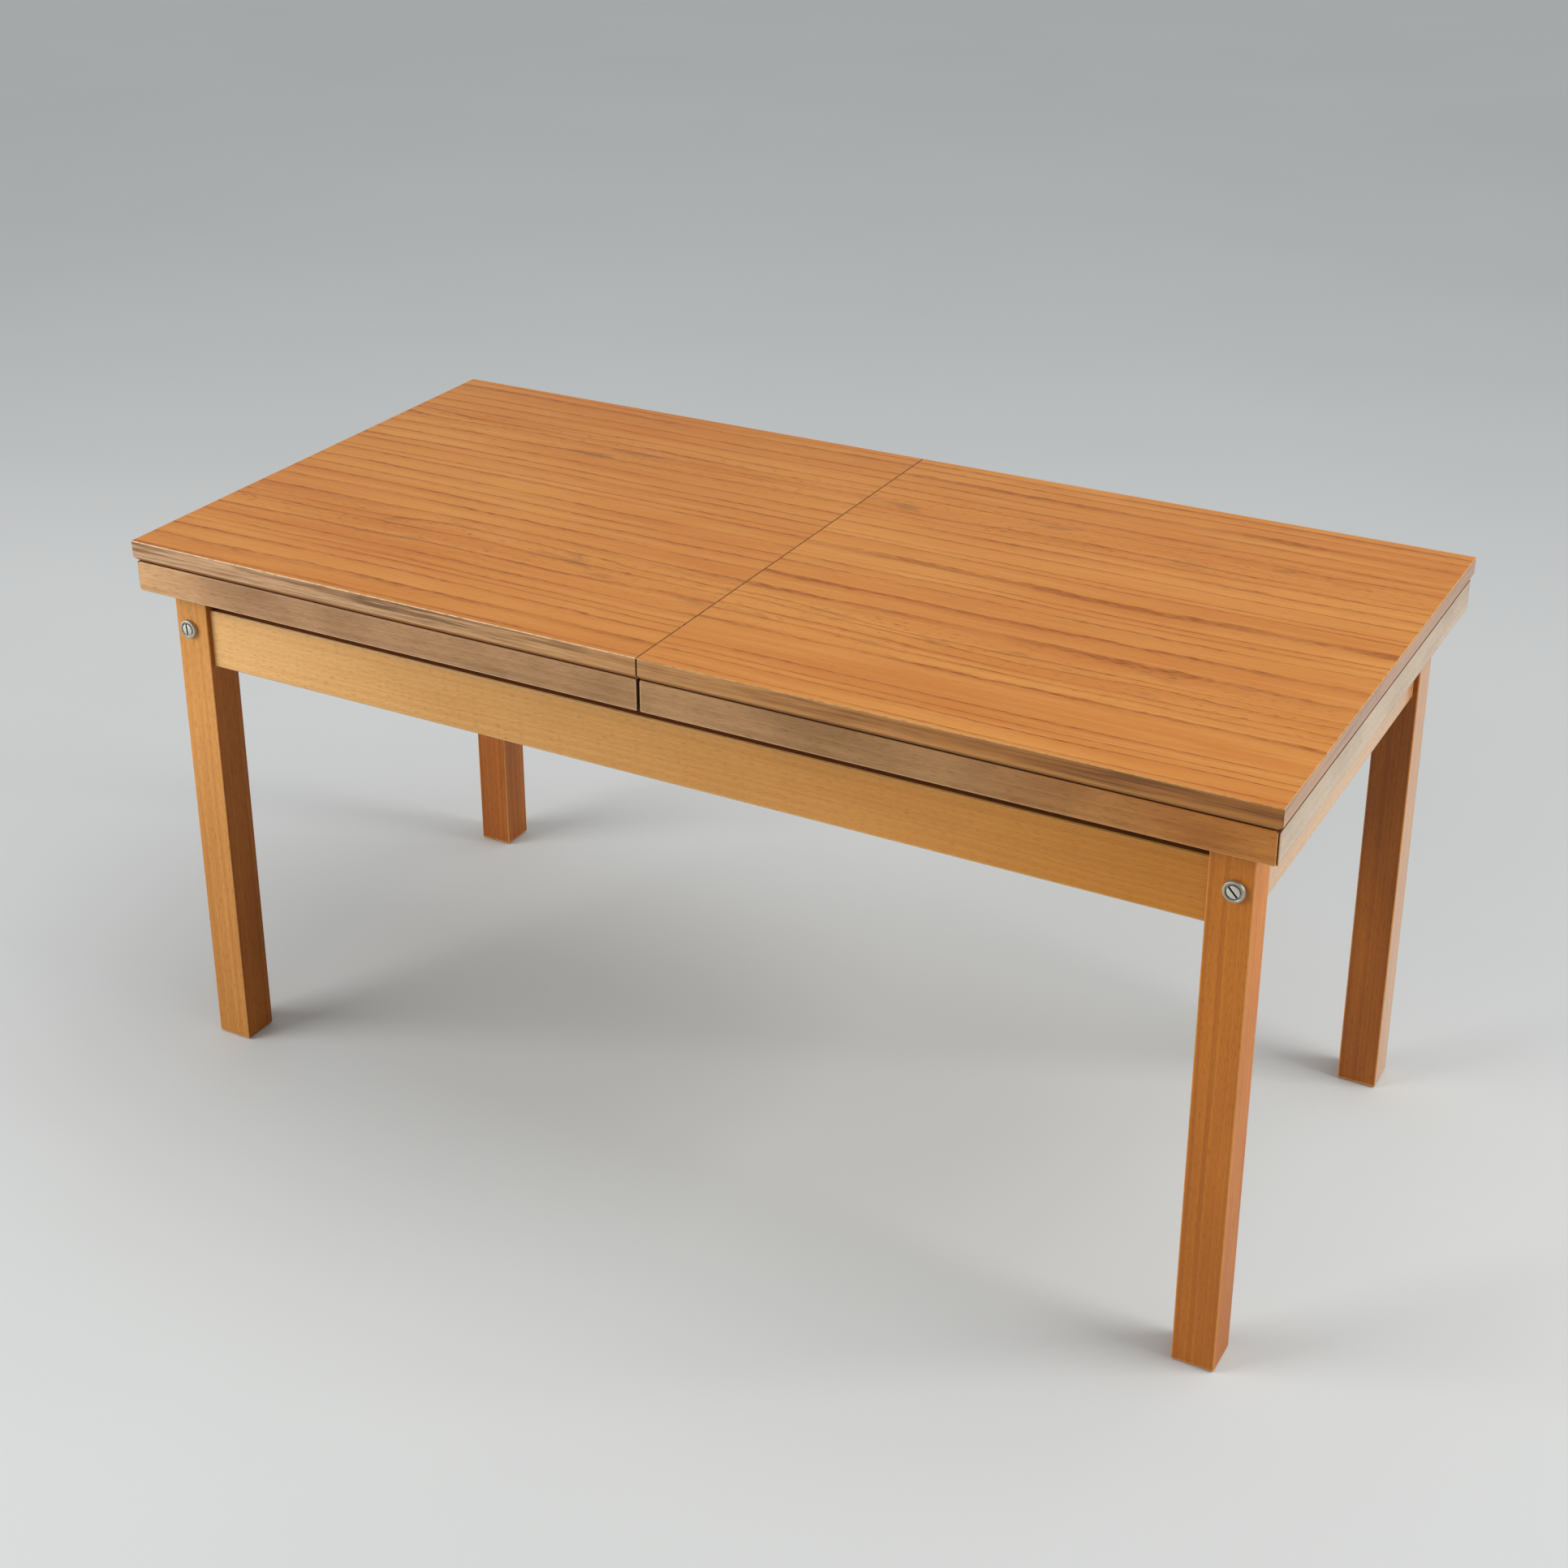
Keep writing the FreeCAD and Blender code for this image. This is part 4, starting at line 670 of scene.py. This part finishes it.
# Decorative laminate printed with flat-cut teak: long dark lines about 20 mm apart, with a flame of
# wavy lines, knots and short pores down the middle of each 275 mm leaf, under a semi-gloss skin.
def teak_print(name, seed, quarter_turns=0):
    material, tree, upright = new_material(name)
    place = add(tree, "VectorRotate", {"Vector": upright, "Angle": quarter_turns * math.pi / 2},
                rotation_type="Z_AXIS")
    moved = add(tree, "VectorMath", {0: place, 1: (seed * 1.7, 0, 0)}, operation="ADD")
    parts = add(tree, "SeparateXYZ", {"Vector": place}).outputs
    from_flame = add(tree, "Math", {0: parts["Y"], 1: FLAME_PLACE}, operation="SUBTRACT")
    away = add(tree, "Math", {0: from_flame, 1: LEAF_WIDTH / 2}, operation="PINGPONG")
    flame = add(tree, "MapRange", {"Value": away, "From Min": 55 * MM, "From Max": 12 * MM}, **SOFT_STEP)
    # The swirls and the slow sway that bend the lines, the teeth of their edges, the knots, the change
    # of tint from plank to plank, and the marks of wiping.
    swirl, sway, tooth, knot, tint, wipe = grain_marks(
        tree, moved, (260, 45, 2.0), (333.33, 125, 1.0), (30, 6, 3.0), (71.43, 22.22, 2.0),
        (333.33, 45.45, 3.0), (62.5, 33.33, 3.0), deep=PRINT_DEPTH)
    swirl.inputs["Roughness"].default_value = 0.45
    # The swirls bend the lines to and fro over 34 mm in the flame and 2 mm beside it, the sway over 15 mm
    bend = add(tree, "Math", {0: flame, 1: 34 * MM, 2: 2.0 * MM}, operation="MULTIPLY_ADD")
    push = add(tree, "Math", {0: swirl, 1: 0.5}, operation="SUBTRACT")
    wave = add(tree, "Math", {0: push, 1: bend, 2: parts["Y"]}, operation="MULTIPLY_ADD")
    across = add(tree, "Math", {0: sway, 1: 15 * MM, 2: wave}, operation="MULTIPLY_ADD")
    # Rings counted across the grain, closer together in some places than in others
    crowd_at = add(tree, "Math", {0: across, 1: 16.0, 2: seed}, operation="MULTIPLY_ADD")
    crowd = add(tree, "TexNoise", {"W": crowd_at, "Scale": 1.0, "Detail": 2.0}, noise_dimensions="1D")
    toothed = add(tree, "Math", {0: tooth, 1: 5 * MM, 2: across}, operation="MULTIPLY_ADD")
    even = add(tree, "Math", {0: toothed, 1: LINE_PITCH}, operation="DIVIDE")
    ring = add(tree, "Math", {0: crowd, 1: 2.8, 2: even}, operation="MULTIPLY_ADD")
    phase = add(tree, "Math", {0: ring}, operation="FRACT")
    number = add(tree, "Math", {0: ring}, operation="FLOOR")
    # Each line shades in slowly from one side, is darkest in its last 2 mm and ends sharply
    shade = add(tree, "MapRange", {"Value": phase, "From Min": 0.4, "From Max": 0.95, "To Max": 0.42},
                **SOFT_STEP)
    core = add(tree, "MapRange", {"Value": phase, "From Min": 0.76, "From Max": 0.9, "To Max": 0.58},
               **SOFT_STEP)
    both = add(tree, "Math", {0: shade, 1: core}, operation="ADD")
    fall = add(tree, "MapRange", {"Value": phase, "From Min": 1.0, "From Max": 0.94}, **SOFT_STEP)
    edge = add(tree, "Math", {0: both, 1: fall}, operation="MULTIPLY")
    # Lines come and go along the grain over about 140 mm
    length_at = add(tree, "Math", {0: parts["X"], 1: 7.0, 2: seed}, operation="MULTIPLY_ADD")
    line_at = add(tree, "Math", {0: number, 1: 3.7}, operation="MULTIPLY")
    line_place = add(tree, "CombineXYZ", {"X": length_at, "Y": line_at})
    presence = add(tree, "TexNoise", {"Vector": line_place, "Scale": 1.0, "Detail": 2.0})
    strength = add(tree, "MapRange", {"Value": presence, "From Min": 0.3, "From Max": 0.6, "To Min": 0.35})
    whole = add(tree, "Math", {0: edge, 1: strength}, operation="MULTIPLY")
    # Fibres 50 by 1.2 mm, pores 12 by 1.3 mm and pale streaks 180 by 6 mm follow the same bends
    bent = add(tree, "CombineXYZ", {"X": parts["X"], "Y": across, "Z": seed})
    fibre, pore, streak = grain_marks(tree, bent, (50, 1.2, 2.0), (12, 1.3, 1.0), (180, 6, 3.0),
                                      deep=PRINT_DEPTH)
    # The lines are made of the same broken dashes as the pores
    broken = add(tree, "MapRange", {"Value": pore, "From Min": 0.32, "From Max": 0.62, "To Min": 0.4})
    line = add(tree, "Math", {0: whole, 1: broken}, operation="MULTIPLY")
    pore_mark = add(tree, "MapRange", {"Value": pore, "From Min": 0.6, "From Max": 0.76}, **SOFT_STEP)
    pore_share = add(tree, "Math", {0: flame, 1: 0.45, 2: 0.25}, operation="MULTIPLY_ADD")
    pores = add(tree, "Math", {0: pore_mark, 1: pore_share}, operation="MULTIPLY")
    # Greyish knots, only in the flame
    knot_mark = add(tree, "MapRange", {"Value": knot, "From Min": 0.6, "From Max": 0.74}, **SOFT_STEP)
    knots = add(tree, "Math", {0: knot_mark, 1: flame}, operation="MULTIPLY")
    smudge = add(tree, "Math", {0: knots, 1: 0.4}, operation="MULTIPLY")
    warm = add(tree, "MapRange", {"Value": tint, "From Min": 0.35, "From Max": 0.65})
    pale = add(tree, "MapRange", {"Value": streak, "From Min": 0.48, "From Max": 0.68, "To Max": 0.3})
    grain = add(tree, "MapRange", {"Value": fibre, "From Min": 0.35, "From Max": 0.75, "To Max": 0.35})
    # The inks, printed one over the other
    colour = srgb("#D28B3D")
    for share, ink in ((warm, "#C5772C"), (pale, "#DDA056"), (grain, "#BE742A"), (line, "#944A00"),
                       (pores, "#7C4002"), (smudge, "#7A5228")):
        colour = add(tree, "Mix", {"Factor": share, "A": colour, "B": srgb(ink)}, data_type="RGBA")
    rough = add(tree, "MapRange", {"Value": wipe, "From Min": 0.3, "From Max": 0.7, "To Min": 0.17,
                                   "To Max": 0.27})
    skin = add(tree, "BsdfPrincipled", {"Base Color": colour, "IOR": 1.5, "Roughness": rough,
                                        "Specular IOR Level": 0.35})
    add(tree, "OutputMaterial", {"Surface": skin})
    return material


# A laminate sheet in its CAD node's place, its top arris rubbed round, pale at its rim
# and soiled where the two halves meet
def laminate_sheet(node, printed, rim, seam):
    low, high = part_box(node)
    shape = bmesh.new()
    bmesh.ops.create_cube(shape, size=1)
    for vert in shape.verts:
        vert.co = [high[i] if vert.co[i] > 0 else low[i] for i in range(3)]
    arris = [edge for edge in shape.edges if all(vert.co.z > high[2] - AT_TOP for vert in edge.verts)]
    bmesh.ops.bevel(shape, geom=arris, offset=RIM_ROUNDING, segments=3, profile=0.5, affect="EDGES")
    shape.normal_update()
    for face in shape.faces:
        in_seam = abs(face.calc_center_median().x) < AT_SEAM
        face.material_index = 0 if face.normal.z > FACING else 2 if in_seam else 1
    sheet = piece_from(shape, node + "_printed", (printed, rim, seam))
    stand_for(sheet, node)


chipboard = raw_chipboard("raw chipboard", "#C9A677", "#A5804F", "#6E5233")
# The sawn and rubbed edge of the laminate: a thin cream line of resin paper with brown nicks about 6 mm
# long, here rubbed clean, stained with the wood below, or soiled
edge_paper, edge_stained, edge_soiled = [
    spotted(f"laminate edge, {state}", cream, nick, 6, 3.0, (0.45, 0.7), (0.35, 0.6))
    for state, cream, nick in (("rubbed", "#DDBA90", "#C08E58"), ("stained", "#C99659", "#AC773A"),
                               ("soiled", "#94602C", "#6E421C"))]
coated(chipboard, "insert_leaf")
coated(plain_crosswise, "insert_dowels")
# It is stored a quarter turn round from the way it is used, and so is its grain
insert_print = teak_print("teak print laminate, insert", 31.0, quarter_turns=1)
laminate_sheet("insert_laminate", insert_print, edge_paper, edge_paper)


# Half tops, boards and runners: chipboard panels with planed beech runners screwed under them, which
# slide along the guide rails. Beech dowels line up the two boards at the seam.
coated(chipboard, "panel_left", "panel_right")
coated(plain_lengthwise, "seam_dowels")
for half in ("left", "right"):
    for row in ("front", "rear"):
        eased(f"runner_{half}_{row}", BEECH_ARRIS, plain_lengthwise, plain_worn)


# Skirts: narrow beech boards on edge under the rim of each half top, mitred at the outer corners
# and screwed up from below. Their greyish brown middle is painted reflection of the floor.
SKIRT_ARRIS = 1.3 * MM
OPEN_MITRE = 0.9 * MM
# How far from its middle line a mitre's face may lean after easing, and the least it covers
EASED_LEAN = 0.1
MITRE_AREA = 200 * MM * MM
SKIRT_SEAM = 2 * MM
# The part of a face's normal that points up, at the least, in the groove and on an upper arris
GROOVE_UP = 0.3
ARRIS_UP = 0.1
SKIRT_SHADES = [(-540, "#D6A673", "#B88758"), (-420, "#B2875E", "#966D4A"), (100, "#B68A5C", "#986F46"),
                (300, "#AE8050", "#92683C"), (500, "#C67F34", "#A66526")]
# The end skirt at the right is paler and greyer, as painted reflection on its outer face
SKIRT_ENDS = [(-540, "#C8A074", "#AA8054"), (540, "#C4A680", "#A88A64")]
SKIRT_WORN = [(-540, "#DCBA8E", "#C29E74"), (200, "#CAA67E", "#B08C64"), (500, "#CC9658", "#B07A42")]
SKIRT_WEAR = {"cloud_mm": (110, 45), "uneven": 0.8, "satin": 0.34}
skirt_long = stained_beech("stained beech, skirt lengthwise", 0, SKIRT_SHADES, "#6A4826", **SKIRT_WEAR)
skirt_long_worn = stained_beech("stained beech, worn skirt lengthwise", 0, SKIRT_WORN, "#86603A")
skirt_cross = stained_beech("stained beech, skirt crosswise", 1, SKIRT_ENDS, "#6A4826", shine=0.5,
                            lacquer=0.8, **SKIRT_WEAR)
skirt_cross_worn = stained_beech("stained beech, worn skirt crosswise", 1, SKIRT_WORN, "#86603A")
end_grain_and_shade = stained_beech("stained beech, end grain with painted shade", 2, [(0, "#4A2912", "#341B0A")], "#241206",
                            satin=0.6)
for half in ("left", "right"):
    for row, wood, worn in (("front", skirt_long, skirt_long_worn), ("rear", skirt_long, skirt_long_worn),
                            ("end", skirt_cross, skirt_cross_worn)):
        skirt = eased(f"skirt_{half}_{row}", SKIRT_ARRIS, wood, worn,
                      open_mitre=0.0 if row == "end" else OPEN_MITRE)
        skirt.data.materials.append(end_grain_and_shade)
        for polygon in skirt.data.polygons:
            normal = polygon.normal
            in_mitre = abs(abs(normal.x) - abs(normal.y)) < EASED_LEAN and polygon.area > MITRE_AREA
            in_seam = half == "left" and abs(polygon.center.x) < SKIRT_SEAM
            # The mitred ends and the ends at the seam are end grain that soaked up the stain, darkened
            # further as painted shade, and the groove over the end skirts is painted shade. The other upper
            # arrises, covered by the lippings, kept their stain.
            if in_mitre or in_seam or (row == "end" and normal.z > GROOVE_UP):
                polygon.material_index = 2
            elif normal.z > ARRIS_UP:
                polygon.material_index = 0


# Lippings: teak strips glued round the three outer edges of each board, bevelled underneath,
# stained and lacquered. The bevel is darker, as painted shade in the groove under it.
LIPPING_ARRIS = 0.4 * MM
# Paler toward the left end and browner toward the right, as painted light and sheen
LIPPING_SHADES = [(-540, "#E2BE9A"), (-250, "#DAB48A"), (40, "#DBA669"), (300, "#D0914C"), (540, "#B87630")]
# The dark streaks begin between these heights
STREAKS_FROM, STREAKS_FULL = 524 * MM, 529 * MM
# The end strip lies this near to the end, between the mitres at this distance from the middle
END_STRIP = 8.5 * MM
MITRE_PLACE = 266 * MM
LIPPING_SEAM = 1.2 * MM
BEVEL_DOWN = -0.4


# Teak, planed, stained and lacquered: brown with long dark streaks, here mostly in the upper half,
# bands of darker heartwood and fine pores
def teak_strip(name, axis, heartwood=1.0, shine=0.35, lacquer=0.0):
    material, tree, place = new_material(name)
    parts, _, grain = in_the_grain(tree, place, axis)
    # Streaks, stretches where they are strong, pores that are drawn 20 by 0.8 mm, and heartwood bands
    streaks, figure, pores, heart = grain_marks(
        tree, grain, (125, 3, 4.0), (142.86, 50, 2.0), (20, 0.8, 1.0), (400, 9, 2.0))
    streaks.inputs["Roughness"].default_value = 0.6
    share = add(tree, "MapRange", {"Value": figure, "From Min": 0.42, "From Max": 0.6, "To Min": 0.1,
                                   "To Max": 0.85})
    upper = add(tree, "MapRange", {"Value": parts["Z"], "From Min": STREAKS_FROM, "From Max": STREAKS_FULL,
                                   "To Min": 0.3}, **SOFT_STEP)
    amount = add(tree, "Math", {0: share, 1: upper}, operation="MULTIPLY")
    mark = add(tree, "MapRange", {"Value": streaks, "From Min": 0.45, "From Max": 0.6}, **SOFT_STEP)
    dark = add(tree, "Math", {0: mark, 1: amount}, operation="MULTIPLY")
    # The heartwood is stronger in the right half, and broken up by the streaks
    brown = add(tree, "MapRange", {"Value": heart, "From Min": 0.38, "From Max": 0.54, "To Max": 0.85},
                **SOFT_STEP)
    rightward = add(tree, "MapRange", {"Value": parts["X"], "From Min": -150 * MM, "From Max": 200 * MM,
                                       "To Min": 0.2 * heartwood, "To Max": heartwood})
    banded = add(tree, "Math", {0: brown, 1: rightward}, operation="MULTIPLY")
    broken = add(tree, "MapRange", {"Value": streaks, "From Min": 0.38, "From Max": 0.6, "To Min": 0.35})
    streaky = add(tree, "Math", {0: banded, 1: broken}, operation="MULTIPLY")
    band = add(tree, "Math", {0: streaky, 1: upper}, operation="MULTIPLY")
    colour = painted_light_along_x(tree, parts["X"], LIPPING_SHADES)
    for share, shade in ((pores, "#A06C38"), (band, "#824C1E"), (dark, "#63401F")):
        colour = add(tree, "Mix", {"Factor": share, "A": colour, "B": srgb(shade)}, data_type="RGBA")
    rough = add(tree, "MapRange", {"Value": figure, "To Min": 0.3, "To Max": 0.45})
    relief = add(tree, "Bump", {"Height": pores, "Strength": 0.15, "Distance": 0.1 * MM})
    skin = add(tree, "BsdfPrincipled", {
        "Base Color": colour, "Roughness": rough, "Normal": relief, "IOR": 1.5, "Specular IOR Level": shine,
        "Coat Weight": lacquer, "Coat Roughness": 0.2})
    add(tree, "OutputMaterial", {"Surface": skin})
    return material


teak_long = teak_strip("stained teak, lengthwise", 0)
teak_cross = teak_strip("stained teak, crosswise", 1, heartwood=0.2, shine=0.5, lacquer=0.8)
teak_bevel_shade = stained_beech("stained teak, bevel in painted shade", 0, [(0, "#B27D4A", "#936336")], "#5E3A1E",
                            satin=0.5)
for half in ("left", "right"):
    node = f"lipping_{half}"
    outer = max(abs(corner.x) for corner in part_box(node))
    strip = eased(node, LIPPING_ARRIS, teak_long, teak_cross)
    strip.data.materials.append(teak_bevel_shade)
    strip.data.materials.append(end_grain_and_shade)
    for polygon in strip.data.polygons:
        # The end strip, beyond its mitres, has its grain across the table
        at_end = abs(polygon.center.x) > outer - END_STRIP and abs(polygon.center.y) < MITRE_PLACE
        polygon.material_index = 1 if at_end else 0
        # The bevel, facing down into the groove, takes the painted shade
        if polygon.normal.z < BEVEL_DOWN:
            polygon.material_index = 2
        # The ends at the seam take the dark end grain with painted shade
        if abs(polygon.center.x) < LIPPING_SEAM:
            polygon.material_index = 3


# Top laminates: one sheet of printed paper and resin for each half, pressed and glued over the board
# and its lippings, and trimmed flush at the rim.
laminate_sheet("laminate_left", teak_print("teak print laminate, left", 3.0), edge_paper, edge_soiled)
laminate_sheet("laminate_right", teak_print("teak print laminate, right", 17.0), edge_stained, edge_soiled)


# Top screws: round-headed wood screws of zinc-plated steel, driven up through the skirts
# and the runners into the boards.
for half in ("left", "right"):
    wood_screws(f"top_screws_{half}", 24 * MM)


# Studio: a plain pale floor under an even dome of light, with a soft sun from above,
# and two window-like softboxes, one at the right and a larger one at the left front.
floor_shape = bmesh.new()
bmesh.ops.create_grid(floor_shape, x_segments=1, y_segments=1, size=40)
floor_paint, tree, place = new_material("pale floor paint")
clouds = add(tree, "TexNoise", {"Vector": place, "Scale": 1.5, "Detail": 4.0})
colour = add(tree, "Mix", {"Factor": clouds, "A": srgb("#CBCDCC"), "B": srgb("#C4C6C5")}, data_type="RGBA")
skin = add(tree, "BsdfPrincipled", {"Base Color": colour, "Roughness": 0.85})
add(tree, "OutputMaterial", {"Surface": skin})
floor = piece_from(floor_shape, "floor", (floor_paint,))

# The dome is bright overhead and falls to a third lower down, as in a room lit from above,
# and a paler band at the horizon meets the floor
world = bpy.data.worlds.new("studio")
bpy.context.scene.world = world
world.use_nodes = True
sky = world.node_tree
sky.nodes.clear()
toward = add(sky, "TexCoord").outputs["Generated"]
height = add(sky, "SeparateXYZ", {"Vector": toward}).outputs["Z"]
level = add(sky, "MapRange", {"Value": height, "From Min": 0.2, "From Max": 0.9, "To Min": 0.25,
                              "To Max": 0.72})
band = add(sky, "MapRange", {"Value": height, "From Min": 0.2, "From Max": 0.12, "To Max": 0.18})
strength = add(sky, "Math", {0: level, 1: band}, operation="ADD")
dome = add(sky, "Background", {"Color": srgb("#F0F2F4"), "Strength": strength})
add(sky, "OutputWorld", {"Surface": dome})


def lamp(name, kind, place, target, power, **settings):
    light = bpy.data.lights.new(name, kind)
    light.energy = power
    for key, value in settings.items():
        setattr(light, key, value)
    holder = in_scene(name, light)
    holder.location = place
    holder.visible_camera = False
    holder.rotation_euler = (Vector(target) - Vector(place)).to_track_quat("-Z", "Y").to_euler()


lamp("skylight", "SUN", (0.9, 0.4, 2.4), (0, 0, 0), 0.5, angle=math.radians(40))
for name, place, target, power, size in (
        ("right window", (2.95, 0.45, 1.9), (0.4, 0.0, 0.35), 25, (1.8, 1.05)),
        ("left window", (-2.4, -2.2, 1.65), (-0.4, -0.2, 0.4), 31, (2.1, 1.6))):
    lamp(name, "AREA", place, target, power, shape="RECTANGLE", size=size[0], size_y=size[1],
         spread=math.radians(110))

# The camera stands at the near right corner, a little above eye height of someone seated
lens = bpy.data.cameras.new("camera")
lens.sensor_fit = "HORIZONTAL"
lens.sensor_width = 36
lens.lens = 56.2
lens.shift_x = 0.0342
lens.shift_y = -0.1196
camera = in_scene("camera", lens)
camera.location = (0.9838, -1.8269, 1.3767)
camera.rotation_euler = [math.radians(angle) for angle in (66.926, 0.535, 29.680)]
bpy.context.scene.camera = camera
